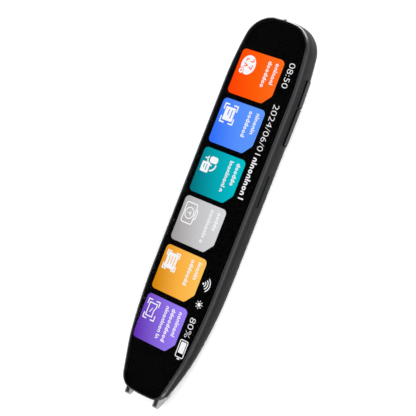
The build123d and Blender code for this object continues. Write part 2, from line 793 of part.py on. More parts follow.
def speaker_gasket():
    ring = rod(speaker_r, 0, speaker_y, floor_t, floor_t + gasket_t)
    return ring - rod(speaker_r - gasket_w, 0, speaker_y, floor_t, floor_t + gasket_t)


def speaker_basket():
    """Cup of the speaker, open towards the grille, with its magnet at the closed end."""
    z0 = floor_t + gasket_t
    cup = rod(speaker_r, 0, speaker_y, z0, z0 + speaker_h)
    cup -= rod(speaker_r - speaker_wall, 0, speaker_y, z0, z0 + speaker_h - speaker_wall)
    return cup + rod(magnet_r, 0, speaker_y, z0 + dome_h + magnet_gap, z0 + speaker_h)


def speaker_cone():
    """Diaphragm: a flat surround with a domed centre."""
    z0 = floor_t + gasket_t
    ring = rod(speaker_r - speaker_wall, 0, speaker_y, z0, z0 + cone_t)
    ring -= rod(dome_r - cone_lap, 0, speaker_y, z0, z0 + cone_t)
    ball_r = (dome_r ** 2 + dome_h ** 2) / (2 * dome_h)
    centre = Pos(0, speaker_y, z0 + cone_t + dome_h - ball_r)
    dome = centre * Sphere(ball_r) - centre * Sphere(ball_r - cone_t)
    return ring + (dome & above(z0))


# ---- camera on the back ---------------------------------------------------------------
def camera_trim():
    """Turned ring set flush in the back, with a funnel down to the lens window."""
    disc = rod(trim_r, 0, camera_y, trim_inset, trim_inset + trim_t)
    disc = chamfer(disc.faces().sort_by(Axis.Z)[0].edges(), trim_edge)
    depth = trim_t - lens_window_t
    funnel = Pos(0, camera_y, trim_inset + depth / 2) * Cone(trim_mouth_r, trim_bore_r, depth)
    return disc - funnel - rod(trim_bore_r, 0, camera_y, trim_inset, body_t)


def lens_window():
    return rod(trim_bore_r, 0, camera_y, trim_inset + trim_t - lens_window_t, trim_inset + trim_t)


def lens_barrel():
    """Barrel behind the window with its stepped front opening."""
    z0 = trim_inset + trim_t
    barrel = rod(barrel_r, 0, camera_y, z0, z0 + barrel_h)
    front_r, back_r, depth = barrel_mouth
    return barrel - Pos(0, camera_y, z0 + depth / 2) * Cone(front_r, back_r, depth)


def camera_module():
    """Square module that carries the barrel and stands on the cover's boss."""
    half = module_w / 2
    return slab(-half, half, camera_y - half, camera_y + half, camera_floor_z, camera_floor_z + module_h)


def camera_flex():
    """Ribbon from the module to the connector under the board."""
    z0 = camera_floor_z + module_h
    end_y = camera_y - camera_flex_end
    half = camera_flex_w / 2
    run = slab(-half, half, end_y, camera_y, z0, z0 + ribbon_t)
    return run + slab(-half, half, end_y, end_y + ribbon_t, z0, board_low_z - connector_t)


# ---- side keys ------------------------------------------------------------------------
def key_cap(span, low_flange, high_flange):
    """Key that stands out of the wall, with its flange behind and a nub on the switch."""
    cap = key_block(span, -wall - key_rest_gap - key_flange_t / 2, key_proud)
    cap = fillet(cap.faces().sort_by(Axis.X)[-1].edges(), key_edge_r)
    flange = wall_band(1, wall + key_rest_gap, wall + key_rest_gap + key_flange_t, span[0] - low_flange,
                       span[1] + high_flange, key_z - key_h / 2 + key_flange_foot, key_z + key_h / 2)
    nub_x = key_board_x + key_switch_t + key_travel + key_lead
    nub = rod_along_x(nub_r, (span[0] + span[1]) / 2, key_z, nub_x, side_x(span[1]) - wall - key_rest_gap)
    return cap + flange + nub


def power_key():
    """Short key with a small dimple to find it by touch."""
    cap = key_cap(power_key_y, key_flange_near, key_flange)
    ball_r = (dimple_r ** 2 + dimple_depth ** 2) / (2 * dimple_depth)
    return cap - key_place(power_key_y) * Pos(key_proud + ball_r - dimple_depth, 0, 0) * Sphere(ball_r)


def function_key():
    return key_cap(function_key_y, key_flange, key_flange_near)


def key_board():
    """Upright board behind the keys."""
    return slab(key_board_x - key_board_t, key_board_x, key_board_y[0], key_board_y[1],
                key_z - key_board_h / 2, key_z + key_board_h / 2)


def key_switch(span):
    """Switch body with the bore that its plunger runs in."""
    middle = (span[0] + span[1]) / 2
    half = key_switch_w / 2
    body = slab(key_board_x, key_board_x + key_switch_t, middle - half, middle + half,
                key_z - half, key_z + half)
    bore = rod_along_x(plunger_r + plunger_fit, middle, key_z, key_board_x + switch_floor, reach)
    return body - bore


def key_plunger(span):
    """Plunger that moves with its key."""
    middle = (span[0] + span[1]) / 2
    face_x = key_board_x + key_switch_t
    return rod_along_x(plunger_r, middle, key_z, face_x - plunger_in, face_x + key_travel + key_lead)


# ---- scanning head and sprung fork ----------------------------------------------------
def fork_profile():
    """Side outline of a leg: slim inside the body, a rounded fin outside."""
    over_wall = floor_t + fork_side_gap
    corners = (
        (bar_y[1], fork_leg_z[0], 0), (ramp_y_at(fork_leg_z[0], over_wall), fork_leg_z[0], 0),
        (ramp_y_at(fork_neck_z, over_wall), fork_neck_z, 0), (fork_heel_y, fork_neck_z, 0),
        (fork_heel_y, fork_low_z, fork_heel_r), (*fork_knee, fork_knee_r),
        (fork_tip_y, fork_brow_z, fork_tip_r), (fork_tip_y, fork_top_z, fork_heel_r),
        (fork_step_y, fork_top_z, 0), (fork_step_y, fork_leg_z[1], 0), (bar_y[1], fork_leg_z[1], 0),
    )
    return rounded_face([(Vector(0, y, z), radius) for y, z, radius in corners])


def fork_pad_space(side):
    """Slot in the middle of a fin for its elastomer pad."""
    middle = side * (fork_in + fork_leg_w / 2)
    fin = extrude(Pos(middle - pad_t / 2, 0, 0) * fork_profile(), amount=pad_t, dir=(1, 0, 0))
    return fin & slab(-reach, reach, fork_tip_y + pad_end_gap, fork_heel_y - pad_end_gap, 0, body_t)


def nib_fork():
    """Two legs joined by a bar: pushed in when the pen is pressed on the page."""
    solid = slab(-fork_out, fork_out, bar_y[0], bar_y[1], bar_z[0], bar_z[1])
    for x0 in (-fork_out, fork_in):
        solid += extrude(Pos(x0, 0, 0) * fork_profile(), amount=fork_leg_w, dir=(1, 0, 0))
    return solid - [fork_pad_space(side) for side in (-1, 1)]


def nib_pads():
    return [fork_pad_space(side) for side in (-1, 1)]


def nib_springs():
    """Coil springs between the fork's bar and the cover's rib."""
    length = rib_y[0] - bar_y[1]
    height = length - 2 * spring_wire_r
    path = Helix(pitch=height / spring_turns, height=height, radius=spring_r)
    section = Plane(origin=path @ 0, z_dir=path % 0) * Circle(spring_wire_r)
    coil = sweep(section, path=path)
    start = bar_y[1] + spring_wire_r
    return [Pos(x, start, spring_z) * Rot(-90, 0, 0) * coil for x in (-spring_x, spring_x)]


def nib_switch():
    """Switch on the rib that the fork's plunger closes."""
    half = nib_switch_w / 2
    body = slab(-half, half, nib_switch_y[0], nib_switch_y[1], spring_z - nib_switch_h / 2,
                spring_z + nib_switch_h / 2)
    bore_end = nib_switch_y[0] + nib_plunger_in + fork_travel + nib_bore_rest
    return body - rod_along_y(nib_plunger_r + plunger_fit, 0, spring_z, bar_y[1], bore_end)


def nib_plunger():
    return rod_along_y(nib_plunger_r, 0, spring_z, bar_y[1], nib_switch_y[0] + nib_plunger_in)


def scan_window():
    """Dark pane along the ramp, between the fork's fins."""
    front = window_recess
    back = window_recess + window_t
    start_y = ramp_y - window_gap
    points = ((start_y, ramp_z(start_y, front)), (window_end_y, ramp_z(window_end_y, front)),
              (window_end_y, ramp_z(window_end_y, back)), (start_y, ramp_z(start_y, back)))
    pane = side_prism(points, -window_w / 2, window_w / 2)
    top = [e for e in pane.edges().filter_by(Axis.X) if e.center().Y > start_y - window_gap]
    return chamfer(min(top, key=lambda e: e.center().Z), window_bevel)


def scan_bracket():
    """Black cradle that carries the window, the lens and the sensor board."""
    top_z = tray_low_z - bracket_top_gap
    back = window_recess + window_t
    outline = ((bracket_back_y, bracket_floor[0]), (ramp_y_at(bracket_floor[0], back), bracket_floor[0]),
               (ramp_y_at(top_z, back), top_z), (bracket_back_y, top_z))
    half = window_w / 2
    solid = side_prism(outline, -half, half)
    hollow_half = half - bracket_wall
    solid -= slab(-hollow_half, hollow_half, nose_y, bracket_back_y + past, bracket_floor[1], body_t)
    solid += slab(-hollow_half, hollow_half, lens_wall_y[0], lens_wall_y[1], bracket_floor[0], top_z)
    return solid - rod_along_y(lens_r + lens_fit, 0, lens_z, nose_y, sensor_board_y[0])


def scan_lens():
    """Lens barrel in the cradle's cross wall, drilled from the front."""
    barrel = rod_along_y(lens_r, 0, lens_z, lens_y[0], lens_y[1])
    barrel = chamfer(barrel.faces().sort_by(Axis.Y)[0].edges(), lens_edge)
    return barrel - rod_along_y(lens_bore_r, 0, lens_z, lens_y[0], lens_y[0] + lens_bore_depth)


def scan_sensor():
    """Image sensor on its upright board."""
    half = sensor_board_w / 2
    front_y, back_y = sensor_board_y
    board = slab(-half, half, front_y, back_y, sensor_board_z[0], sensor_board_z[1])
    w, l, h = sensor_size
    return board + slab(-w / 2, w / 2, front_y - l, front_y, lens_z - h / 2, lens_z + h / 2)


def scan_lights():
    """Light board on the cradle's floor with its lamps facing the window."""
    y1 = lens_y[0] - led_board_gap
    y0 = y1 - led_board_l
    z0 = bracket_floor[1]
    top_z = z0 + led_board_t
    board = slab(-led_board_w / 2, led_board_w / 2, y0, y1, z0, top_z)
    w, l, h = led_size
    for x in led_places:
        board += slab(x - w / 2, x + w / 2, y0, y0 + l, top_z, top_z + h)
    return board


def scan_ribbon():
    """Ribbon from the sensor board over the fork's bar to the main board."""
    half = scan_ribbon_w / 2
    start_y, end_y = sensor_board_y[1], board_end_y + scan_ribbon_lap
    z0 = scan_ribbon_z
    run = slab(-half, half, start_y, end_y, z0, z0 + ribbon_t)
    run += slab(-half, half, start_y, start_y + ribbon_t, lens_z, z0 + ribbon_t)
    return run + slab(-half, half, end_y - ribbon_t, end_y, board_top_z, z0)


def antenna_film():
    """Aerial film stuck on the left wall inside."""
    return wall_band(-1, wall, wall + antenna_t, antenna_y[0], antenna_y[1], antenna_z[0], antenna_z[1])


# ---- output ---------------------------------------------------------------------------
def build():
    """Every node by name."""
    return {
        "rear_cover": rear_cover(),
        "front_frame": front_frame(),
        "cover_glass": cover_glass(),
        "glass_tape": glass_tape(),
        "display_panel": display_panel(),
        "display_flex": display_flex(),
        "main_board": main_board(),
        "board_screws": board_screws(),
        "shield_cans": shield_cans(),
        "board_connectors": board_connectors(),
        "microphone": microphone(),
        "usb_shell": usb_shell(),
        "usb_tongue": usb_tongue(),
        "card_socket": card_socket(),
        "battery_cell": battery_cell(),
        "battery_foam": battery_foam(),
        "battery_board": battery_board(),
        "speaker_mesh": speaker_mesh(),
        "speaker_gasket": speaker_gasket(),
        "speaker_basket": speaker_basket(),
        "speaker_cone": speaker_cone(),
        "camera_trim": camera_trim(),
        "lens_window": lens_window(),
        "lens_barrel": lens_barrel(),
        "camera_module": camera_module(),
        "camera_flex": camera_flex(),
        "power_key": power_key(),
        "function_key": function_key(),
        "key_board": key_board(),
        "power_switch": key_switch(power_key_y),
        "function_switch": key_switch(function_key_y),
        "power_plunger": key_plunger(power_key_y),
        "function_plunger": key_plunger(function_key_y),
        "nib_fork": nib_fork(),
        "nib_pads": nib_pads(),
        "nib_springs": nib_springs(),
        "nib_switch": nib_switch(),
        "nib_plunger": nib_plunger(),
        "scan_window": scan_window(),
        "scan_bracket": scan_bracket(),
        "scan_lens": scan_lens(),
        "scan_sensor": scan_sensor(),
        "scan_lights": scan_lights(),
        "scan_ribbon": scan_ribbon(),
        "antenna_film": antenna_film(),
    }


def as_shape(piece):
    """One shape from a single solid or a list of separate solids."""
    if isinstance(piece, list):
        return Compound(children=[s for p in piece for s in p.solids()])
    solids = piece.solids()
    return solids[0] if len(solids) == 1 else Compound(children=list(solids))


for name, piece in build().items():
    export_step(as_shape(piece), f"parts/{name}.step")
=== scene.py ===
"""Looks of the scanning translation pen: its mouldings, glass, lit display, metal trim and light.

The pen's sizes are in millimetres, and MM turns them to metres. The lamps, the floor's size and the
camera's clip are in metres. X runs across the pen, with the keys on +X, Y towards the top end and Z
out through the display.
"""
import bpy
import bmesh
from math import atan2, cos, degrees, pi, radians, sin, tan
from mathutils import Matrix, Vector


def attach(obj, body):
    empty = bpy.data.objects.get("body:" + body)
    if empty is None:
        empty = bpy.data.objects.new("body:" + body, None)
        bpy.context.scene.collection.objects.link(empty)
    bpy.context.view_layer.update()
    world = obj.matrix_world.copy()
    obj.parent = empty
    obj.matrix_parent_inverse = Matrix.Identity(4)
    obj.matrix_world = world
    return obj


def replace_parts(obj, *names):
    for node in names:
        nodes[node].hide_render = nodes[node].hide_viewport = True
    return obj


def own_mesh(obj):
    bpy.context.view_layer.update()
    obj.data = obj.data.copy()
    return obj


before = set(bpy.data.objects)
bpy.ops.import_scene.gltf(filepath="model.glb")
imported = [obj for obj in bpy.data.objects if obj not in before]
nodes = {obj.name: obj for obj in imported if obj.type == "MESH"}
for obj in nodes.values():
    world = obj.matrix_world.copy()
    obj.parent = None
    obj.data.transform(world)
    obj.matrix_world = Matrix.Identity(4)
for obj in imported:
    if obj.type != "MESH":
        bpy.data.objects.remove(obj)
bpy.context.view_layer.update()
MM = 0.001
WELD = 1e-7     # metres: points of one piece that lie closer are one point

# ---- camera -----------------------------------------------------------------------------
IMAGE_PX = 416
FOCAL_PX = 1350.0
SENSOR_MM = 36.0
VIEW_ROLL, VIEW_PITCH, VIEW_TURN = -21.28, 1.9, -33.45   # degrees about Z, X and Y
VIEW_FROM = (-8.21, 0.71, 522.2)                         # camera in the turned axes
VIEW_ORIGIN = (0.0, 2.7, -0.2)                           # the turned axes' origin in the pen's
VIEW_CLIP = (0.01, 20.0)


def add_camera():
    turned = (Matrix.Rotation(radians(VIEW_ROLL), 3, "Z") @ Matrix.Rotation(radians(VIEW_PITCH), 3, "X")
              @ Matrix.Rotation(radians(VIEW_TURN), 3, "Y"))
    to_pen = turned.transposed()
    place = to_pen @ Vector(VIEW_FROM) + Vector(VIEW_ORIGIN)
    data = bpy.data.cameras.new("camera")
    data.sensor_width = SENSOR_MM
    data.lens = FOCAL_PX * SENSOR_MM / IMAGE_PX
    data.clip_start, data.clip_end = VIEW_CLIP
    camera = bpy.data.objects.new("camera", data)
    camera.matrix_world = Matrix.Translation(place * MM) @ to_pen.to_4x4()
    bpy.context.scene.collection.objects.link(camera)
    bpy.context.scene.camera = camera


add_camera()
bpy.context.scene.view_settings.view_transform = "Standard"


# ---- materials --------------------------------------------------------------------------
def linear(hex_colour):
    """sRGB hex to the linear RGBA that a socket takes."""
    parts = [int(hex_colour[k:k + 2], 16) / 255 for k in (1, 3, 5)]
    return [c / 12.92 if c <= 0.04045 else ((c + 0.055) / 1.055) ** 2.4 for c in parts] + [1.0]


def add_node(tree, kind, settings=None, **sockets):
    """One node with its settings; a socket given as a node's output is linked, else it is set.

    i0, i1 and so on name a socket by its place, where several share one name.
    """
    node = tree.nodes.new(kind)
    for name, value in (settings or {}).items():
        setattr(node, name, value)
    for name, value in sockets.items():
        by_place = name[0] == "i" and name[1:].isdigit()
        socket = node.inputs[int(name[1:]) if by_place else name.replace("_", " ")]
        if isinstance(value, bpy.types.NodeSocket):
            tree.links.new(value, socket)
        else:
            socket.default_value = value
    return node


def new_material(name):
    material = bpy.data.materials.new(name)
    material.use_nodes = True
    material.node_tree.nodes.clear()
    return material, material.node_tree


def close_material(tree, shader):
    add_node(tree, "ShaderNodeOutputMaterial", Surface=shader)


def set_ramp(node, stops):
    """Stops of (position, hex colour) on a colour ramp."""
    stops = list(stops)
    ramp = node.color_ramp
    while len(ramp.elements) < len(stops):
        ramp.elements.new(0.5)
    for element, (position, colour) in zip(ramp.elements, stops):
        element.position = position
        element.color = linear(colour)


GRAIN_DETAIL = 3.0
GRAIN_STOPS = (0.3, 0.7)                 # most of a noise lies between these
SMUDGE_MM, SMUDGE_SPREAD = 3.0, 0.03
LINE_DETAIL, LINE_SPREAD = 2.0, 0.08


def solid_finish(name, low, high, roughness, grain_mm, bump_mm=0.0, spread=0.06, **shader):
    """A surface whose colour, gloss and height vary a little at one grain size."""
    material, tree = new_material(name)
    where = add_node(tree, "ShaderNodeTexCoord").outputs["Object"]
    grain = add_node(tree, "ShaderNodeTexNoise", Vector=where, Scale=1.0 / (grain_mm * MM),
                     Detail=GRAIN_DETAIL)
    ramp = add_node(tree, "ShaderNodeValToRGB", Fac=grain.outputs["Fac"])
    set_ramp(ramp, zip(GRAIN_STOPS, (low, high)))
    gloss = add_node(tree, "ShaderNodeMapRange", Value=grain.outputs["Fac"], To_Min=roughness - spread,
                     To_Max=roughness + spread)
    skin = add_node(tree, "ShaderNodeBsdfPrincipled", Base_Color=ramp.outputs["Color"],
                    Roughness=gloss.outputs["Result"], **shader)
    if bump_mm:
        relief = add_node(tree, "ShaderNodeBump", Height=grain.outputs["Fac"], Strength=1.0,
                          Distance=bump_mm * MM)
        tree.links.new(relief.outputs["Normal"], skin.inputs["Normal"])
    close_material(tree, skin.outputs["BSDF"])
    return material


def glossy_finish(name, colour, roughness, **shader):
    """A moulded or polished surface with fine smudges in its gloss."""
    return solid_finish(name, colour, colour, roughness, SMUDGE_MM, spread=SMUDGE_SPREAD, **shader)


def brushed_finish(name, colour, roughness, line_mm, axis_scale):
    """Metal with fine lines in its gloss; axis_scale packs them closer along an axis."""
    material, tree = new_material(name)
    where = add_node(tree, "ShaderNodeTexCoord").outputs["Object"]
    along = add_node(tree, "ShaderNodeMapping", Vector=where, Scale=axis_scale)
    lines = add_node(tree, "ShaderNodeTexNoise", Vector=along.outputs["Vector"],
                     Scale=1.0 / (line_mm * MM), Detail=LINE_DETAIL)
    gloss = add_node(tree, "ShaderNodeMapRange", Value=lines.outputs["Fac"],
                     To_Min=roughness - LINE_SPREAD, To_Max=roughness + LINE_SPREAD)
    skin = add_node(tree, "ShaderNodeBsdfPrincipled", Base_Color=linear(colour), Metallic=1.0,
                    Roughness=gloss.outputs["Result"])
    close_material(tree, skin.outputs["BSDF"])
    return material


TILE_X = (-13.3, 6.65)                   # the tiles of the display lie between these
BLEND_LEAN, BLEND_PAST = 0.35, 3.0       # how far a tile's blend leans along Y, and runs past the tile
BLEND_STOPS = (0.05, 0.5, 0.95)


def lit_gradient(name, middle_y, foot, middle, head):
    """Lit pixels of a tile: three colours blend upwards along X, a little aslant; no lamp dims them."""
    material, tree = new_material(name)
    where = add_node(tree, "ShaderNodeTexCoord").outputs["Object"]
    axes = add_node(tree, "ShaderNodeSeparateXYZ", Vector=where)
    slant = add_node(tree, "ShaderNodeMath", {"operation": "MULTIPLY_ADD"}, i0=axes.outputs["Y"],
                     i1=BLEND_LEAN, i2=axes.outputs["X"])
    shift = BLEND_LEAN * middle_y
    up = add_node(tree, "ShaderNodeMapRange", Value=slant.outputs["Value"],
                  From_Min=(TILE_X[0] + shift - BLEND_PAST) * MM,
                  From_Max=(TILE_X[1] + shift + BLEND_PAST) * MM)
    ramp = add_node(tree, "ShaderNodeValToRGB", Fac=up.outputs["Result"])
    set_ramp(ramp, zip(BLEND_STOPS, (foot, middle, head)))
    glow = add_node(tree, "ShaderNodeEmission", Color=ramp.outputs["Color"], Strength=1.0)
    close_material(tree, glow.outputs["Emission"])
    return material


def lit_plain(name, colour):
    material, tree = new_material(name)
    glow = add_node(tree, "ShaderNodeEmission", Color=linear(colour), Strength=1.0)
    close_material(tree, glow.outputs["Emission"])
    return material


def clear_glass(name, tint, ior=1.5):
    material, tree = new_material(name)
    skin = add_node(tree, "ShaderNodeBsdfPrincipled", Base_Color=linear(tint), Roughness=0.0, IOR=ior,
                    Transmission_Weight=1.0)
    close_material(tree, skin.outputs["BSDF"])
    return material


def two_band_finish(name, told_by, axis, limits, below, above, specular, grain_mm, bump_mm):
    """One moulding with two surfaces, each (colour, roughness), told apart by place or by normal.

    told_by is Object or Normal, and limits are where the lower surface ends and the upper starts.
    """
    material, tree = new_material(name)
    outputs = add_node(tree, "ShaderNodeTexCoord").outputs
    level = add_node(tree, "ShaderNodeSeparateXYZ", Vector=outputs[told_by]).outputs[axis]
    upper = add_node(tree, "ShaderNodeMapRange", Value=level, From_Min=limits[0],
                     From_Max=limits[1]).outputs["Result"]
    tint = add_node(tree, "ShaderNodeMix", {"data_type": "RGBA"}, i0=upper, i6=linear(below[0]),
                    i7=linear(above[0]))
    gloss = add_node(tree, "ShaderNodeMapRange", Value=upper, To_Min=below[1], To_Max=above[1])
    grain = add_node(tree, "ShaderNodeTexNoise", Vector=outputs["Object"],
                     Scale=1.0 / (grain_mm * MM), Detail=GRAIN_DETAIL)
    relief = add_node(tree, "ShaderNodeBump", Height=grain.outputs["Fac"], Strength=1.0,
                      Distance=bump_mm * MM)
    skin = add_node(tree, "ShaderNodeBsdfPrincipled", Base_Color=tint.outputs[2],
                    Roughness=gloss.outputs["Result"], Specular_IOR_Level=specular,
                    Normal=relief.outputs["Normal"])
    close_material(tree, skin.outputs["BSDF"])
    return material


# A solid finish has a darker and a lighter colour, a roughness and its grain in millimetres. A glossy
# one has a colour and a roughness. A brushed one has a colour, a roughness, its lines' width in
# millimetres and how much closer they are packed along X, Y and Z.

# Spark-eroded ABS: a matt, faintly grainy dark grey that spreads highlights wide.
casing_abs = solid_finish("abs_spark_eroded", "#121314", "#18191A", 0.5, 0.25, bump_mm=0.012,
                          Specular_IOR_Level=0.12)
# The same ABS: eroded like the cover on its wall, satin on its rim. The rim is painted lighter, a painted
# highlight along its edge, and the wall is painted darker than the cover, a painted shade by the groove
# below the rim.
RIM_SHADE_TO_HIGHLIGHT = (10.87 * MM, 11.03 * MM)      # heights between which the wall turns into the rim
rim_abs_painted_highlight_and_shade = two_band_finish("abs_satin_rim_painted_highlight_and_shade", "Object", "Z", RIM_SHADE_TO_HIGHLIGHT, ("#090A0A", 0.5), ("#2C2D30", 0.2),
                          specular=0.16, grain_mm=0.3, bump_mm=0.004)
# Polycarbonate keys with a soft edge light; their flanks are painted black, a painted shade of the gap round
# them.
KEY_SHADE_BAND = (0.75, 0.9)                   # X of the normal, from where the flank turns into the face
key_pc_painted_gap_shade = two_band_finish("polycarbonate_satin_painted_gap_shade", "Normal", "X", KEY_SHADE_BAND, ("#010101", 0.8),
                         ("#3C3D3F", 0.3), specular=0.05, grain_mm=0.4, bump_mm=0.003)
# Polished PMMA window, nearly black: sharp reflections on a dark body.
window_pmma = glossy_finish("pmma_infrared_black", "#050506", 0.06)
# Light grey nylon of the fork: matt, faintly cloudy.
fork_nylon = solid_finish("nylon_light_grey", "#8C8C8E", "#969698", 0.4, 0.5, bump_mm=0.006)
# Thermoplastic elastomer strip: dull dark grey with no sharp highlight.
pad_tpe = solid_finish("elastomer_dark_grey", "#1D1D1E", "#262627", 0.65, 0.3, bump_mm=0.01)
# Display laminate seen unlit: deep black, with no reflection of its own under the glass's.
panel_black = glossy_finish("display_laminate_black", "#010101", 0.4, Specular_IOR_Level=0.0)
# Screen-printed ink: the same black, so that the border melts into the unlit display.
ink_black = solid_finish("screen_printed_black_ink", "#000000", "#010102", 0.6, 0.2, Specular_IOR_Level=0.0)
# Aluminosilicate glass with a coating against reflections: its low IOR stands for the coating, so
# the screen behind stays black. Its ground edge is inked.
COATED_IOR = 1.2
cover_glass_clear = clear_glass("aluminosilicate_glass_coated", "#FFFFFF", ior=COATED_IOR)
glass_edge_black = glossy_finish("ground_glass_edge_inked", "#050506", 0.2)
# Coated lens glass: a faint blue over the dark barrel.
lens_glass = clear_glass("lens_glass_blue_coat", "#7C8CC8")
# Black anodised aluminium, faced on a lathe: fine rings that fan the light into wedges.
turned_black = solid_finish("aluminium_black_anodised", "#1B1C20", "#232428", 0.24, 0.4, Metallic=1.0)
# Drawn stainless steel: lines along the pen, which stretch its highlights.
port_steel = brushed_finish("stainless_drawn", "#B4B5B8", 0.28, 0.05, (20.0, 1.0, 20.0))
# Bright spring wire: a crisp light edge on every coil.
spring_steel = brushed_finish("spring_wire_bright", "#B9BABC", 0.25, 0.08, (1.0, 1.0, 1.0))
# Tinned sheet: a soft silver with faint lines across the pen, left by the rolls.
tin_sheet = brushed_finish("tinned_steel_sheet", "#C9C9C6", 0.32, 0.1, (1.0, 12.0, 1.0))
# Zinc plating: a cooler and duller silver, which sets the screws apart from the cans.
screw_zinc = brushed_finish("zinc_plated_steel", "#A9ABB0", 0.3, 0.1, (1.0, 1.0, 1.0))
# Gold flash: small warm glints on the contacts.
contact_gold = brushed_finish("gold_flash_contacts", "#D8B25A", 0.25, 0.05, (1.0, 8.0, 1.0))
# Pouch laminate: a silver that is slightly rumpled and so breaks up what it mirrors.
pouch_foil = solid_finish("pouch_laminate_foil", "#B9BABC", "#C6C7C9", 0.35, 2.0, bump_mm=0.05, Metallic=1.0)
# Solder mask: the glossy dark green of a board.
board_mask = solid_finish("solder_mask_green", "#0E4A26", "#12562D", 0.35, 0.6)
# White mask: a bright board, which throws the scan light forward.
lamp_mask = solid_finish("solder_mask_white", "#DAD9D4", "#E2E1DC", 0.4, 0.6)
# Polyimide: the amber of flexible circuits, with a dull gloss.
flex_polyimide = solid_finish("polyimide_amber", "#A8641A", "#B87224", 0.35, 0.8)
# Liquid-crystal polymer: hard black mouldings with a low sheen.
black_lcp = solid_finish("lcp_moulded_black", "#17181A", "#1C1D1F", 0.45, 0.3)
# Foam and adhesive: a dead matt black that swallows light.
foam_black = solid_finish("foam_adhesive_black", "#101011", "#19191A", 0.9, 0.15, bump_mm=0.05)
# Film of the speaker's cone: a plain smooth grey.
cone_film = solid_finish("speaker_film_grey", "#3C3C40", "#46464A", 0.4, 0.5)
# Black coat on the speaker's basket: satin, a little lighter than the casing.
basket_paint = solid_finish("basket_black_coat", "#1C1C1D", "#232324", 0.4, 0.4)

BAND_RADIANS = 20.0     # what one unit of length adds to a wave texture's angle at scale 1
THREAD_STOPS = (0.3, 0.9)


def woven_mesh(name, pitch_mm):
    """Acoustic mesh: two sets of threads that cross, pitch_mm apart."""
    material, tree = new_material(name)
    where = add_node(tree, "ShaderNodeTexCoord").outputs["Object"]
    waves = []
    for direction in ("X", "Y"):
        waves.append(add_node(tree, "ShaderNodeTexWave", {"bands_direction": direction}, Vector=where,
                              Scale=2 * pi / (BAND_RADIANS * pitch_mm * MM)).outputs["Fac"])
    both = add_node(tree, "ShaderNodeMath", {"operation": "MAXIMUM"}, i0=waves[0], i1=waves[1])
    ramp = add_node(tree, "ShaderNodeValToRGB", Fac=both.outputs["Value"])
    set_ramp(ramp, zip(THREAD_STOPS, ("#050505", "#242426")))
    skin = add_node(tree, "ShaderNodeBsdfPrincipled", Base_Color=ramp.outputs["Color"], Roughness=0.7)
    close_material(tree, skin.outputs["BSDF"])
    return material


# Polyester acoustic mesh: matt black with a regular weave, drawn coarser than real to show at all.
mesh_cloth = woven_mesh("polyester_acoustic_mesh", pitch_mm=0.754)

FINISH = {
    "rear_cover": casing_abs, "front_frame": rim_abs_painted_highlight_and_shade, "glass_tape": foam_black,
    "display_panel": panel_black, "display_flex": flex_polyimide, "main_board": board_mask,
    "board_screws": screw_zinc, "shield_cans": tin_sheet, "board_connectors": black_lcp,
    "microphone": tin_sheet, "usb_shell": port_steel, "usb_tongue": black_lcp,
    "card_socket": port_steel, "battery_cell": pouch_foil, "battery_foam": foam_black,
    "battery_board": board_mask, "speaker_mesh": mesh_cloth, "speaker_gasket": foam_black,
    "speaker_basket": basket_paint, "speaker_cone": cone_film, "camera_trim": turned_black,
    "lens_window": lens_glass, "lens_barrel": black_lcp, "camera_module": black_lcp,
    "camera_flex": flex_polyimide, "power_key": key_pc_painted_gap_shade, "function_key": key_pc_painted_gap_shade,
    "key_board": board_mask, "power_switch": tin_sheet, "function_switch": tin_sheet,
    "power_plunger": black_lcp, "function_plunger": black_lcp, "nib_fork": fork_nylon,
    "nib_pads": pad_tpe, "nib_springs": spring_steel, "nib_switch": tin_sheet,
    "nib_plunger": black_lcp, "scan_window": window_pmma, "scan_bracket": black_lcp,
    "scan_lens": turned_black, "scan_sensor": board_mask, "scan_lights": lamp_mask,
    "scan_ribbon": flex_polyimide, "antenna_film": flex_polyimide, "cover_glass": cover_glass_clear,
}
for name, material in FINISH.items():
    mesh = nodes[name].data
    mesh.materials.clear()
    mesh.materials.append(material)


# ---- mesh tools -------------------------------------------------------------------------
def arc_points(centre, radius_x, radius_y, start, end, steps):
    """Points (x, y) on an ellipse's arc, angles in degrees."""
    turns = [radians(start + (end - start) * k / steps) for k in range(steps + 1)]
    return [(centre[0] + radius_x * cos(t), centre[1] + radius_y * sin(t)) for t in turns]


def circle_points(centre, radius_x, radius_y, count):
    """Closed outline of an ellipse."""
    return arc_points(centre, radius_x, radius_y, 0, 360 - 360 / count, count - 1)


CORNER_STEPS = 8
CORNER_SHARE = 0.49     # the most of a side that the round at one of its ends takes up


def rounded_outline(corners):
    """Closed outline of (x, y) points from (x, y, radius) corners."""
    points = []
    for k, (x, y, radius) in enumerate(corners):
        here = Vector((x, y))
        back = Vector(corners[k - 1][:2]) - here
        on = Vector(corners[(k + 1) % len(corners)][:2]) - here
        half = back.angle(on) / 2
        reach = min(radius / tan(half), CORNER_SHARE * back.length, CORNER_SHARE * on.length)
        radius = reach * tan(half)
        to_centre = (back.normalized() + on.normalized()).normalized()
        centre = here + to_centre * (radius / sin(half))
        start = here + back.normalized() * reach - centre
        end = here + on.normalized() * reach - centre
        first = atan2(start.y, start.x)
        turn = (atan2(end.y, end.x) - first + pi) % (2 * pi) - pi
        for j in range(CORNER_STEPS + 1):
            angle = first + turn * j / CORNER_STEPS
            points.append((centre.x + radius * cos(angle), centre.y + radius * sin(angle)))
    return points


def box_outline(x0, x1, y0, y1):
    return [(x0, y0), (x1, y0), (x1, y1), (x0, y1)]


def area_of(points):
    return sum(a[0] * b[1] - b[0] * a[1] for a, b in zip(points, points[1:] + points[:1])) / 2


def add_slab(mesh, outline, z0, z1):
    """A closed prism of an outline in a bmesh, between two heights."""
    points = outline if area_of(outline) > 0 else outline[::-1]
    low = [mesh.verts.new((x * MM, y * MM, z0 * MM)) for x, y in points]
    high = [mesh.verts.new((x * MM, y * MM, z1 * MM)) for x, y in points]
    mesh.faces.new(low[::-1])
    mesh.faces.new(high)
    for k in range(len(points)):
        j = (k + 1) % len(points)
        mesh.faces.new((low[k], low[j], high[j], high[k]))


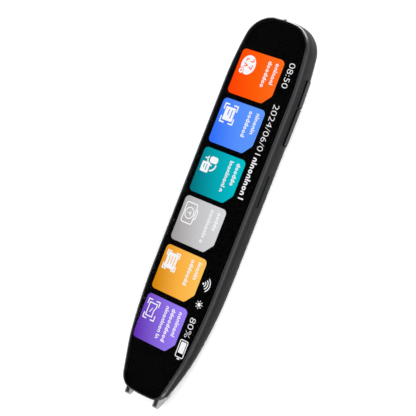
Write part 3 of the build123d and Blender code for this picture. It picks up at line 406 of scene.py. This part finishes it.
def add_band(mesh, outer, inner, z0, z1):
    """A closed ring between two outlines with the same number of points."""
    rings = []
    for points in (outer, inner):
        for z in (z0, z1):
            rings.append([mesh.verts.new((x * MM, y * MM, z * MM)) for x, y in points])
    outer_low, outer_high, inner_low, inner_high = rings
    for k in range(len(outer)):
        j = (k + 1) % len(outer)
        mesh.faces.new((outer_low[k], outer_low[j], outer_high[j], outer_high[k]))
        mesh.faces.new((inner_low[j], inner_low[k], inner_high[k], inner_high[j]))
        mesh.faces.new((outer_high[k], outer_high[j], inner_high[j], inner_high[k]))
        mesh.faces.new((outer_low[j], outer_low[k], inner_low[k], inner_low[j]))


def finish_piece(name, mesh, material, body="body", smooth_deg=30):
    """The bmesh as a named piece that rides on a body."""
    bmesh.ops.recalc_face_normals(mesh, faces=mesh.faces)
    data = bpy.data.meshes.new(name)
    mesh.to_mesh(data)
    mesh.free()
    data.polygons.foreach_set("use_smooth", [True] * len(data.polygons))
    data.set_sharp_from_angle(angle=radians(smooth_deg))
    data.materials.append(material)
    piece = bpy.data.objects.new(name, data)
    bpy.context.scene.collection.objects.link(piece)
    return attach(piece, body)


CAP_STEPS = 6
NO_LENGTH = 1e-9        # shorter stretches have no direction
MITRE_FLOOR = 0.4       # keeps the mitre of a sharp bend short


def stroke_outline(points, width):
    """Outline of a line of the given width, with round ends, through (x, y) points."""
    half = width / 2
    sides = []
    for k, (x, y) in enumerate(points):
        here = Vector((x, y))
        ahead = Vector(points[min(k + 1, len(points) - 1)]) - here
        behind = here - Vector(points[max(k - 1, 0)])
        directions = [d.normalized() for d in (ahead, behind) if d.length > NO_LENGTH]
        along = sum(directions, Vector((0, 0))).normalized()
        mitre = half / max(MITRE_FLOOR, along.dot(directions[0]))
        sides.append((here, Vector((-along.y, along.x)) * mitre, along))
    left = [tuple(place + out) for place, out, _ in sides]
    right = [tuple(place - out) for place, out, _ in sides]
    caps = []
    for place, direction in ((sides[-1][0], sides[-1][2]), (sides[0][0], -sides[0][2])):
        angle = degrees(atan2(direction.y, direction.x))
        caps.append(arc_points(place, half, half, angle + 90, angle - 90, CAP_STEPS)[1:-1])
    return left + caps[0] + right[::-1] + caps[1]


# ---- cover glass and the black border printed under it ------------------------------------
HALF_W, TOP_Y, NOSE_Y = 16.5, 78.2, -75.6            # the ends reach 0.4 past the body's for the glass
SHOULDER = (58.0, 8.6, 125.0)            # y where each stretch starts, its lean in degrees and radius
TAPER = (-40.0, 7.2, 300.0)
NOSE_SHOULDER = (-57.0, 13.3, 85.0)
TOP_CROWN, NOSE_CROWN = (42.0, 5.5), (60.0, 3.5)     # radius, and the lean of its two halves
TOP_CORNER_R, NOSE_CORNER_R = 11.5, 6.5
PLAN_STEPS = 10
ROUND_SHARE = 0.98                       # the most of a side that the rounds at its two ends take up
GLASS_INSET, GLASS_EDGE_R, EDGE_STEPS = 1.21, 0.25, 6
GLASS_Z = (11.06, 11.8)
FLAT_NORMAL = 0.99                       # a face that looks this far up or down is a flat of the glass
INK_CLEAR, INK_W, INK_Z = 0.02, 0.3, (11.022, 11.05)
INK_END_Y, INK_END_Z = -69.5, (11.01, 11.021)


def plan_corners():
    """The pen's plan as (x, y, radius) corners, clockwise from the top."""
    taper_x = HALF_W - (TAPER[0] - NOSE_SHOULDER[0]) * tan(radians(TAPER[1]))
    nose_x = taper_x - (NOSE_SHOULDER[0] - NOSE_Y) * tan(radians(NOSE_SHOULDER[1]))
    top_x = HALF_W - (TOP_Y - SHOULDER[0]) * tan(radians(SHOULDER[1]))
    top_y = TOP_Y + TOP_CROWN[0] * (1 / cos(radians(TOP_CROWN[1])) - 1)
    nose_y = NOSE_Y - NOSE_CROWN[0] * (1 / cos(radians(NOSE_CROWN[1])) - 1)
    right = [(top_x, top_y - top_x * tan(radians(TOP_CROWN[1])), TOP_CORNER_R),
             (HALF_W, SHOULDER[0], SHOULDER[2]), (HALF_W, TAPER[0], TAPER[2]),
             (taper_x, NOSE_SHOULDER[0], NOSE_SHOULDER[2]),
             (nose_x, nose_y + nose_x * tan(radians(NOSE_CROWN[1])), NOSE_CORNER_R)]
    left = [(-x, y, r) for x, y, r in reversed(right)]
    return [(0.0, top_y, TOP_CROWN[0])] + right + [(0.0, nose_y, NOSE_CROWN[0])] + left


def plan_outline(inset):
    """The plan moved in by inset, as points; every inset gives the same number of points."""
    corners = plan_corners()
    moved = []
    for k, (x, y, radius) in enumerate(corners):
        here = Vector((x, y))
        along_in = (here - Vector(corners[k - 1][:2])).normalized()
        along_out = (Vector(corners[(k + 1) % len(corners)][:2]) - here).normalized()
        inward = Vector((along_in.y, -along_in.x)) + Vector((along_out.y, -along_out.x))
        here = here + inward * (inset / (1 + along_in.dot(along_out)))
        moved.append((here, radius - inset))
    points = []
    count = len(moved)
    halves = [(moved[k - 1][0] - moved[k][0]).angle(moved[(k + 1) % count][0] - moved[k][0]) / 2
              for k in range(count)]
    wanted = [radius / tan(half) for (_, radius), half in zip(moved, halves)]
    for k, (here, _) in enumerate(moved):
        ahead = (k + 1) % count
        before, after = moved[k - 1][0] - here, moved[ahead][0] - here
        share = min(1.0, ROUND_SHARE * before.length / (wanted[k] + wanted[k - 1]),
                    ROUND_SHARE * after.length / (wanted[k] + wanted[ahead]))
        reach = wanted[k] * share
        radius = reach * tan(halves[k])
        centre = here + (before.normalized() + after.normalized()).normalized() * (radius / sin(halves[k]))
        first = here + before.normalized() * reach - centre
        last = here + after.normalized() * reach - centre
        turn = first.angle_signed(last)
        start = atan2(first.y, first.x)
        for j in range(PLAN_STEPS + 1):
            angle = start - turn * j / PLAN_STEPS
            points.append((centre.x + radius * cos(angle), centre.y + radius * sin(angle)))
    return points


def loft(mesh, rings):
    """Skin a stack of (outline, z) rings and close both ends."""
    loops = [[mesh.verts.new((x * MM, y * MM, z * MM)) for x, y in outline] for outline, z in rings]
    for low, high in zip(loops, loops[1:]):
        for k in range(len(low)):
            j = (k + 1) % len(low)
            mesh.faces.new((low[k], low[j], high[j], high[k]))
    mesh.faces.new(loops[0][::-1])
    mesh.faces.new(loops[-1])


def make_glass():
    """The cover glass, ground to a small round along its upper edge."""
    z0, z1 = GLASS_Z
    rings = [(plan_outline(GLASS_INSET), z0), (plan_outline(GLASS_INSET), z1 - GLASS_EDGE_R)]
    for k in range(1, EDGE_STEPS + 1):
        angle = radians(90 * k / EDGE_STEPS)
        rings.append((plan_outline(GLASS_INSET + GLASS_EDGE_R * (1 - cos(angle))),
                      z1 - GLASS_EDGE_R * (1 - sin(angle))))
    mesh = bmesh.new()
    loft(mesh, rings)
    bmesh.ops.recalc_face_normals(mesh, faces=mesh.faces)
    for face in mesh.faces:
        face.material_index = 0 if abs(face.normal.z) > FLAT_NORMAL else 1
    piece = finish_piece("display_cover_glass", mesh, cover_glass_clear)
    piece.data.materials.append(glass_edge_black)
    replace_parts(piece, "cover_glass")


def side_at(points, y):
    """Where an outline's +X side stands at y."""
    for (x0, y0), (x1, y1) in zip(points, points[1:]):
        if min(x0, x1) > 0 and y1 <= y <= y0:
            return x0 + (x1 - x0) * (y0 - y) / (y0 - y1)


def make_border():
    """Black ink printed on the glass from behind: a thin line all round and the whole nib end."""
    mesh = bmesh.new()
    whole = plan_outline(GLASS_INSET + INK_CLEAR)
    add_band(mesh, whole, plan_outline(GLASS_INSET + INK_W), *INK_Z)
    side_x = side_at(whole, INK_END_Y)
    end = [(x, y) for x, y in whole if y < INK_END_Y]
    add_slab(mesh, [(side_x, INK_END_Y)] + end + [(-side_x, INK_END_Y)], *INK_END_Z)
    finish_piece("glass_border_ink", mesh, ink_black)


make_glass()
make_border()

# ---- what the display shows: six tiles, plain picture signs and rows of dummy strokes --------
# Heights of the lit layers, over the panel's face at 11.0 and under the glass.
TILE_LAYER = (11.005, 11.02)
MARK_LAYER = (11.026, 11.034)
DETAIL_LAYER = (11.036, 11.044)
TOP_LAYER = (11.047, 11.055)
TILE_LENGTH = 18.05
TILE_R, TILE_HEAD_R, TILE_CUT_R = 1.7, 1.9, 1.5
TILE_CUT_Y, TILE_CUT_X = 3.9, 3.3        # the cut starts this far from the end, and meets it at this X
TILES = {   # where the tile starts along Y, and its colours at the foot, middle and head
    "orange": (62.85, "#FF4200", "#FF5B01", "#FF6D1C"), "blue": (42.7, "#3070FB", "#5590FE", "#609AFC"),
    "teal": (22.5, "#007480", "#00A7B4", "#00C0CC"), "grey": (2.5, "#A39E9E", "#C7C7C9", "#D8D9DB"),
    "amber": (-17.75, "#D48600", "#FDB343", "#FFC65E"), "purple": (-37.95, "#6230B0", "#8867DF", "#9C80F8"),
}
# Lit pixels: an even soft white that no lamp changes.
screen_white = lit_plain("lit_pixels_white", "#F7F7FA")


def make_tile(name, start, foot, middle, head):
    """One tile: rounded corners, with the upper one at its far end cut off aslant."""
    low_x, high_x = TILE_X
    end = start - TILE_LENGTH
    corners = [(high_x, start, TILE_HEAD_R), (high_x, end + TILE_CUT_Y, TILE_CUT_R),
               (TILE_CUT_X, end, TILE_CUT_R), (low_x, end, TILE_R), (low_x, start, TILE_R)]
    mesh = bmesh.new()
    add_slab(mesh, rounded_outline(corners), *TILE_LAYER)
    lit = lit_gradient("lit_tile_" + name, (start + end) / 2, foot, middle, head)
    finish_piece("screen_tile_" + name, mesh, lit)


for tile, settings in TILES.items():
    make_tile(tile, *settings)


def line(mesh, points, width, layer=MARK_LAYER):
    """A stroke with round ends through points given as (y, x), as read across the screen."""
    add_slab(mesh, stroke_outline([(x, y) for y, x in points], width), *layer)


def box_corners(y0, y1, x0, x1, radius):
    """Corners of a box from y0 down to y1 and from x0 up to x1."""
    return [(x1, y0, radius), (x1, y1, radius), (x0, y1, radius), (x0, y0, radius)]


def plate(mesh, y0, y1, x0, x1, radius):
    add_slab(mesh, rounded_outline(box_corners(y0, y1, x0, x1, radius)), *MARK_LAYER)


def frame_line(mesh, y0, y1, x0, x1, width, radius):
    """A rounded rectangular outline whose outer edge is the given box."""
    outer = box_corners(y0, y1, x0, x1, radius)
    inner = box_corners(y0 - width, y1 + width, x0 + width, x1 - width, radius - width)
    add_band(mesh, rounded_outline(outer), rounded_outline(inner), *MARK_LAYER)


RING_POINTS, DISC_POINTS = 24, 36


def ring(mesh, y, x, radius_y, radius_x, width, layer=MARK_LAYER):
    """An elliptical ring whose stroke runs inside its outer edge."""
    outer = circle_points((x, y), radius_x, radius_y, RING_POINTS)
    inner = circle_points((x, y), radius_x - width, radius_y - width, RING_POINTS)
    add_band(mesh, outer, inner, *layer)


def disc(mesh, y, x, radius_y, radius_x, layer=MARK_LAYER):
    add_slab(mesh, circle_points((x, y), radius_x, radius_y, DISC_POINTS), *layer)


def brackets(mesh, y0, y1, x0, x1, width, arm_y, arm_x):
    """Four corner marks of a viewfinder around a box."""
    half = width / 2
    for y, side_y in ((y0 - half, -1), (y1 + half, 1)):
        for x, side_x in ((x1 - half, -1), (x0 + half, 1)):
            line(mesh, [(y + side_y * arm_y, x), (y, x), (y, x + side_x * arm_x)], width)


def arc_line(mesh, y, x, radius_y, radius_x, start, end, steps, width):
    """A stroke along an ellipse's arc, from angle start to end in degrees."""
    arc = arc_points((x, y), radius_x, radius_y, start, end, steps)
    line(mesh, [(arc_y, arc_x) for arc_x, arc_y in arc], width)


# The signs are drawn in the screen's millimetres, each on its own tile. Every sign gets a
# mesh for its white part and one for details in the tile's colour, which the grey and the purple
# tile's leave empty.
def speech_icon(white, colour):
    disc(white, 57.1, -8.5, radius_y=3.85, radius_x=3.3)
    marks = ([(59.7, -6.7), (58.7, -6.7), (58.7, -7.9)], [(57.3, -6.6), (55.7, -6.6), (56.4, -7.9)],
             [(59.3, -8.9), (59.3, -9.9), (58.4, -9.9)], [(57.5, -10.3), (56.8, -8.9), (56.1, -10.3)])
    for mark in marks:
        line(colour, mark, width=0.42, layer=DETAIL_LAYER)
    disc(colour, 54.35, -10.75, radius_y=1.3, radius_x=1.2, layer=DETAIL_LAYER)
    ring(white, 54.35, -10.75, radius_y=1.05, radius_x=1.0, width=0.62, layer=TOP_LAYER)


def page_scan_icon(white, colour):
    brackets(white, 40.9, 33.1, -11.9, -5.4, width=0.55, arm_y=2.1, arm_x=1.8)
    plate(white, 39.7, 34.3, -10.9, -6.3, radius=0.3)
    for row in ([(38.6, -7.6), (35.6, -7.6)], [(38.6, -9.1), (36.6, -9.1)]):
        line(colour, row, width=0.45, layer=DETAIL_LAYER)


def recorder_icon(white, colour):
    plate(white, 19.7, 17.1, -9.1, -5.4, radius=1.0)
    arc_line(white, 18.4, -7.6, radius_y=2.3, radius_x=2.5, start=160, end=270, steps=8, width=0.5)
    line(white, [(18.4, -10.1), (18.4, -11.2)], width=0.5)
    plate(white, 17.0, 12.9, -12.0, -8.3, radius=0.5)
    for row in ([(16.0, -9.6), (13.9, -9.6)], [(16.0, -10.8), (14.6, -10.8)]):
        line(colour, row, width=0.4, layer=DETAIL_LAYER)
    arc_line(white, 16.6, -8.2, radius_y=2.6, radius_x=2.6, start=0, end=-75, steps=8, width=0.6)


def camera_icon(white, colour):
    frame_line(white, 0.4, -8.0, -11.9, -6.3, width=0.45, radius=0.9)
    line(white, [(-1.6, -6.4), (-2.2, -5.6), (-5.2, -5.6), (-5.8, -6.4)], width=0.45)
    ring(white, -3.8, -9.1, radius_y=2.4, radius_x=2.2, width=0.42)
    line(white, [(-3.0, -8.6), (-4.6, -8.6)], width=0.35)
    line(white, [(-3.8, -8.3), (-3.8, -10.0)], width=0.35)


def text_scan_icon(white, colour):
    brackets(white, -19.7, -27.3, -12.1, -5.6, width=0.5, arm_y=1.9, arm_x=1.7)
    plate(white, -20.4, -26.6, -11.4, -6.3, radius=0.5)
    for x, end in ((-7.5, -25.4), (-8.8, -24.6), (-10.1, -25.2)):
        line(colour, [(-21.6, x), (end, x)], width=0.4, layer=DETAIL_LAYER)


def album_icon(white, colour):
    brackets(white, -39.8, -47.8, -12.1, -6.3, width=0.45, arm_y=1.9, arm_x=1.6)
    folder = [(-41.2, -7.4), (-42.6, -7.4), (-43.7, -8.0), (-46.4, -8.0), (-46.4, -11.0), (-41.2, -11.0),
              (-41.2, -7.4)]
    line(white, folder, width=0.42)
    line(white, [(-43.1, -9.0), (-44.8, -9.7)], width=0.35)


ICONS = {"orange": speech_icon, "blue": page_scan_icon, "teal": recorder_icon, "grey": camera_icon,
         "amber": text_scan_icon, "purple": album_icon}
for tile, draw in ICONS.items():
    white, colour = bmesh.new(), bmesh.new()
    draw(white, colour)
    finish_piece("screen_sign_" + tile, white, screen_white)
    if colour.verts:
        lit = lit_plain("lit_pixels_" + tile, TILES[tile][2])
        finish_piece("screen_sign_detail_" + tile, colour, lit)


# ---- dummy words: rings, posts, arches and hooks in turn, which spell nothing -----------------
STROKE_SHARE, LOW_SHARE, GAP_SHARE, SPACE_SHARE = 0.2, 0.7, 0.13, 0.3     # of a tall form's height
WORD_FORMS = 9
ARCH_STEPS = 6


# Every form takes the same measures, so that any of them can come next; low and tall are heights.
def ring_form(mesh, y, x, wide, low, tall, stroke):
    ring(mesh, y - wide / 2, x + low / 2, wide / 2, low / 2, stroke)


def post_form(mesh, y, x, wide, low, tall, stroke):
    line(mesh, [(y - wide / 2, x + stroke / 2), (y - wide / 2, x + tall - stroke / 2)], stroke)


def arch_form(mesh, y, x, wide, low, tall, stroke):
    radius = (wide - stroke) / 2
    bend = arc_points((y - wide / 2, x + low - wide / 2), radius, radius, 0, 180, ARCH_STEPS)
    line(mesh, [(y - stroke / 2, x + stroke / 2)] + bend + [(y - wide + stroke / 2, x + stroke / 2)], stroke)


def hook_form(mesh, y, x, wide, low, tall, stroke):
    ring_form(mesh, y, x, wide, low, tall, stroke)
    stem_y = y - wide + stroke / 2
    line(mesh, [(stem_y, x + stroke / 2), (stem_y, x + tall - stroke / 2)], stroke)


FORMS = (ring_form, arch_form, hook_form, ring_form, post_form, arch_form, ring_form, hook_form)
FORM_SHARES = {ring_form: 0.66, arch_form: 0.62, hook_form: 0.66, post_form: 0.2}   # width to height


def dummy_words(mesh, y0, y1, x0, x1, first):
    """Fill a line from y0 down to y1 with forms, and leave a space after each few."""
    tall = x1 - x0
    y, k, in_word = y0, first, 0
    while True:
        form = FORMS[k % len(FORMS)]
        wide = FORM_SHARES[form] * tall
        if y - wide < y1:
            break
        form(mesh, y, x0, wide, LOW_SHARE * tall, tall, STROKE_SHARE * tall)
        y -= wide + GAP_SHARE * tall
        k += 3 if k % 2 else 1     # skips, so that no short pattern repeats
        in_word += 1
        if in_word == WORD_FORMS:
            y -= SPACE_SHARE * tall
            in_word = 0


TEXT_ROWS = {"orange": (51.5, 49.5), "blue": (31.6, 29.4), "teal": (11.5, 6.8), "grey": (-7.0, -13.3),
             "amber": (-27.5, -31.0), "purple": (-49.7, -54.2, -53.6)}     # where each row ends along Y
TEXT_INDENT = 1.95
ROW_X = ((3.1, 5.0), (-0.3, 1.6), (-3.3, -1.5))
for k, (tile, ends) in enumerate(TEXT_ROWS.items()):
    words = bmesh.new()
    for row, end in enumerate(ends):
        dummy_words(words, TILES[tile][0] - TEXT_INDENT, end, *ROW_X[row], first=k + 2 * row)
    finish_piece("screen_words_" + tile, words, screen_white)


# ---- status bar over the tiles -------------------------------------------------------------
BAR_X = (8.85, 11.4)
FIGURE_DEPTH, FIGURE_THINNING = 0.01, -0.014     # in the font's own units
SUN_Y, SUN_X, SUN_R = -34.3, 10.1, 0.75
RAY_SPAN, RAY_W, RAY_TURN = (1.15, 1.5), 0.3, 45
SIGNAL_Y, SIGNAL_X, SIGNAL_DOT_R = -26.4, 8.5, 0.4
SIGNAL_RADII, SIGNAL_W, SIGNAL_REACH, SIGNAL_STEPS = (1.1, 2.1, 3.1), 0.4, 52, 12


def digits(name, text, y0, y1):
    """Figures set from the built-in font, read with -Y to the right and +X up."""
    curve = bpy.data.curves.new(name, "FONT")
    curve.body, curve.extrude, curve.offset = text, FIGURE_DEPTH, FIGURE_THINNING
    setting = bpy.data.objects.new(name + "_setting", curve)
    bpy.context.scene.collection.objects.link(setting)
    bpy.context.view_layer.update()
    data = bpy.data.meshes.new_from_object(setting.evaluated_get(bpy.context.evaluated_depsgraph_get()))
    bpy.data.objects.remove(setting)
    wide = [v.co.x for v in data.vertices]
    tall = [v.co.y for v in data.vertices]
    mesh = bmesh.new()
    mesh.from_mesh(data)
    for v in mesh.verts:
        across = (v.co.x - min(wide)) / (max(wide) - min(wide))
        up = (v.co.y - min(tall)) / (max(tall) - min(tall))
        layer_z = MARK_LAYER[1] if v.co.z > 0 else MARK_LAYER[0]
        v.co = Vector((BAR_X[0] + up * (BAR_X[1] - BAR_X[0]), y0 + across * (y1 - y0), layer_z)) * MM
    bmesh.ops.remove_doubles(mesh, verts=mesh.verts, dist=WELD)
    finish_piece(name, mesh, screen_white)


def brightness_sign(mesh):
    disc(mesh, SUN_Y, SUN_X, SUN_R, SUN_R)
    for turn in range(0, 360, RAY_TURN):
        along_y, along_x = cos(radians(turn)), sin(radians(turn))
        line(mesh, [(SUN_Y + reach * along_y, SUN_X + reach * along_x) for reach in RAY_SPAN], RAY_W)


def wireless_sign(mesh):
    disc(mesh, SIGNAL_Y, SIGNAL_X, SIGNAL_DOT_R, SIGNAL_DOT_R)
    for radius in SIGNAL_RADII:
        arc_line(mesh, SIGNAL_Y, SIGNAL_X, radius, radius, -SIGNAL_REACH, SIGNAL_REACH, SIGNAL_STEPS,
                 SIGNAL_W)


def battery_sign(mesh):
    """Its case, the pole at its end and the charge in it."""
    frame_line(mesh, -48.8, -55.8, 8.1, 12.0, width=0.35, radius=0.7)
    plate(mesh, -56.05, -56.5, 9.5, 10.7, radius=0.15)
    plate(mesh, -49.6, -54.0, 8.9, 11.3, radius=0.25)


digits("screen_clock", "08:50", 62.8, 53.0)
digits("screen_date", "2024/06/01", 46.2, 26.2)
digits("screen_charge", "80%", -39.8, -47.7)

bar = bmesh.new()
dummy_words(bar, 24.9, 7.9, *BAR_X, first=1)
brightness_sign(bar)
wireless_sign(bar)
battery_sign(bar)
finish_piece("screen_bar_signs", bar, screen_white)

# ---- dark mesh in the notch over the microphone, its black partly painted shade --------------
NOTCH_HALF_W, NOTCH_Y, NOTCH_Z = 0.59, (77.21, 77.74), (10.42, 11.5)


def make_notch_shade_mesh():
    """A block of woven mesh that fills the notch; its black is also a painted shade of the hollow."""
    mesh = bmesh.new()
    add_slab(mesh, box_outline(-NOTCH_HALF_W, NOTCH_HALF_W, *NOTCH_Y), *NOTCH_Z)
    finish_piece("microphone_notch_mesh_painted_shade", mesh, mesh_cloth)


make_notch_shade_mesh()

# ---- camera in the back ---------------------------------------------------------------------
CAMERA_Y = 42.0
RING_R, RING_Z = 5.85, (0.05, 0.9)
BEVEL, RIM_W, MOUTH_LIP_W = 0.18, 0.45, 0.35     # bevel of the rim, and what stays plain at both edges
GROOVE_PITCH, GROOVE_DEPTH = 0.16, 0.02
MOUTH_R, BORE_R, WINDOW_Z = 2.35, 1.9, 0.5
FUNNEL_STEPS, STEP_OUT, STEP_DOWN = 4, 0.04, 0.02
TURN_STEPS = 128


def revolve(mesh, profile, centre_y):
    """Turn (radius, z) points about an upright axis at centre_y."""
    turns = [2 * pi * k / TURN_STEPS for k in range(TURN_STEPS)]
    loops = []
    for radius, z in profile:
        circle = [(radius * cos(t), centre_y + radius * sin(t)) for t in turns]
        loops.append([mesh.verts.new((x * MM, y * MM, z * MM)) for x, y in circle])
    for one, two in zip(loops, loops[1:]):
        for k in range(TURN_STEPS):
            j = (k + 1) % TURN_STEPS
            mesh.faces.new((one[k], one[j], two[j], two[k]))


def make_camera_ring():
    """Faced on a lathe: fine rings left by the tool, a bright-cut bevel and a stepped funnel."""
    z0, z1 = RING_Z
    outer, inner = RING_R - RIM_W, MOUTH_R + MOUTH_LIP_W
    profile = [(BORE_R, z1), (RING_R, z1), (RING_R, z0 + BEVEL), (RING_R - BEVEL, z0), (outer, z0)]
    for k in range(int((outer - inner) / GROOVE_PITCH)):
        radius = outer - GROOVE_PITCH * (k + 0.5)
        profile += [(radius, z0 + GROOVE_DEPTH), (radius - GROOVE_PITCH / 2, z0)]
    profile.append((MOUTH_R, z0))
    for k in range(1, FUNNEL_STEPS + 1):
        share = k / FUNNEL_STEPS
        radius, z = MOUTH_R - (MOUTH_R - BORE_R) * share, z0 + (WINDOW_Z - z0) * share
        profile += [(radius + STEP_OUT, z - STEP_DOWN), (radius, z)]
    mesh = bmesh.new()
    revolve(mesh, profile + [(BORE_R, z1)], CAMERA_Y)
    bmesh.ops.remove_doubles(mesh, verts=mesh.verts, dist=WELD)
    piece = finish_piece("camera_ring", mesh, turned_black, smooth_deg=12)
    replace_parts(piece, "camera_trim")


make_camera_ring()


def make_return_springs():
    """A copy of the coils with a mesh of its own, which rides on the body in the node's place."""
    coils = bpy.data.objects.new("nib_return_springs", nodes["nib_springs"].data.copy())
    bpy.context.scene.collection.objects.link(coils)
    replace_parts(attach(coils, "body"), "nib_springs")
    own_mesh(coils)


make_return_springs()

# ---- contacts of the charging port ------------------------------------------------------------
TONGUE_Z, TONGUE_T, TONGUE_TIP_Y = 6.5, 0.7, 75.65
CONTACT_COUNT, CONTACT_PITCH, CONTACT_HALF_W = 12, 0.5, 0.13
CONTACT_SINK, CONTACT_RISE = 0.02, 0.03  # into the tongue, and out of its face
CONTACT_FOOT, CONTACT_HEAD = 3.6, 0.85   # how far behind the tongue's tip they start and end
LONG_CONTACTS, LONG_HEAD = (0, 3, 8, 11), 0.35     # power and ground, which meet the plug first


def make_contacts():
    """A row of flat contacts on each face of the tongue."""
    mesh = bmesh.new()
    upper, lower = TONGUE_Z + TONGUE_T / 2, TONGUE_Z - TONGUE_T / 2
    for k in range(CONTACT_COUNT):
        x = (k - (CONTACT_COUNT - 1) / 2) * CONTACT_PITCH
        head = LONG_HEAD if k in LONG_CONTACTS else CONTACT_HEAD
        outline = box_outline(x - CONTACT_HALF_W, x + CONTACT_HALF_W, TONGUE_TIP_Y - CONTACT_FOOT,
                              TONGUE_TIP_Y - head)
        add_slab(mesh, outline, upper - CONTACT_SINK, upper + CONTACT_RISE)
        add_slab(mesh, outline, lower - CONTACT_RISE, lower + CONTACT_SINK)
    finish_piece("port_contacts", mesh, contact_gold)


make_contacts()

# ---- floor and lamps ---------------------------------------------------------------------------
FLOOR_LIFT = 0.15     # how much paler than lit the camera sees the floor, shadow and all
FLOOR_HALF_W = 1.6    # metres
FLOOR_CLEAR = 0.02    # just clear of the flat back, which lies on it


def floor_paint():
    """White wall paint: matt, so that it takes a soft shadow and mirrors nothing."""
    material, tree = new_material("painted_floor_white")
    paint = add_node(tree, "ShaderNodeBsdfPrincipled", Base_Color=linear("#F6F6F5"), Roughness=0.8,
                     Specular_IOR_Level=0.1)
    seen = add_node(tree, "ShaderNodeLightPath").outputs["Is Camera Ray"]
    lift = add_node(tree, "ShaderNodeMath", {"operation": "MULTIPLY"}, i0=seen, i1=FLOOR_LIFT)
    pale = add_node(tree, "ShaderNodeEmission", Color=linear("#FFFFFF"), Strength=lift.outputs["Value"])
    both = add_node(tree, "ShaderNodeAddShader", i0=paint.outputs["BSDF"], i1=pale.outputs["Emission"])
    close_material(tree, both.outputs["Shader"])
    return material


def make_floor():
    mesh = bmesh.new()
    bmesh.ops.create_grid(mesh, x_segments=2, y_segments=2, size=FLOOR_HALF_W)
    data = bpy.data.meshes.new("floor")
    mesh.to_mesh(data)
    mesh.free()
    data.materials.append(floor_paint())
    floor = bpy.data.objects.new("floor", data)
    floor.location.z = -FLOOR_CLEAR * MM
    bpy.context.scene.collection.objects.link(floor)


make_floor()


def softbox(name, place, aim, size_x, size_y, power, roll=0.0):
    """An area lamp; place and aim in metres, power in watts, roll about its axis in degrees."""
    data = bpy.data.lights.new(name, "AREA")
    data.shape, data.size, data.size_y, data.energy = "RECTANGLE", size_x, size_y, power
    lamp = bpy.data.objects.new(name, data)
    away = Vector(place) - Vector(aim)
    turned = away.to_track_quat("Z", "Y").to_matrix().to_4x4() @ Matrix.Rotation(radians(roll), 4, "Z")
    lamp.matrix_world = Matrix.Translation(place) @ turned
    bpy.context.scene.collection.objects.link(lamp)


# A large lamp overhead, a long one low behind the top end and a small one by the nib.
softbox("overhead_softbox", (0.45, 0.0, 0.9), (0.0, 0.0, 0.0), size_x=0.9, size_y=1.1, power=9.0)
softbox("top_end_softbox", (-0.08, 0.91, 0.225), (0.0, 0.06, 0.0), size_x=1.15, size_y=0.13, power=22.0,
        roll=-23.0)
softbox("nib_end_softbox", (0.5, -0.62, 0.45), (0.0, -0.06, 0.0), size_x=0.36, size_y=0.16, power=5.0)


def light_room():
    """Even grey light from all round, so that no flank falls to black."""
    world = bpy.data.worlds.new("studio")
    bpy.context.scene.world = world
    world.use_nodes = True
    world.node_tree.nodes.clear()
    room = add_node(world.node_tree, "ShaderNodeBackground", Color=linear("#646466"), Strength=1.0)
    add_node(world.node_tree, "ShaderNodeOutputWorld", Surface=room.outputs["Background"])


light_room()
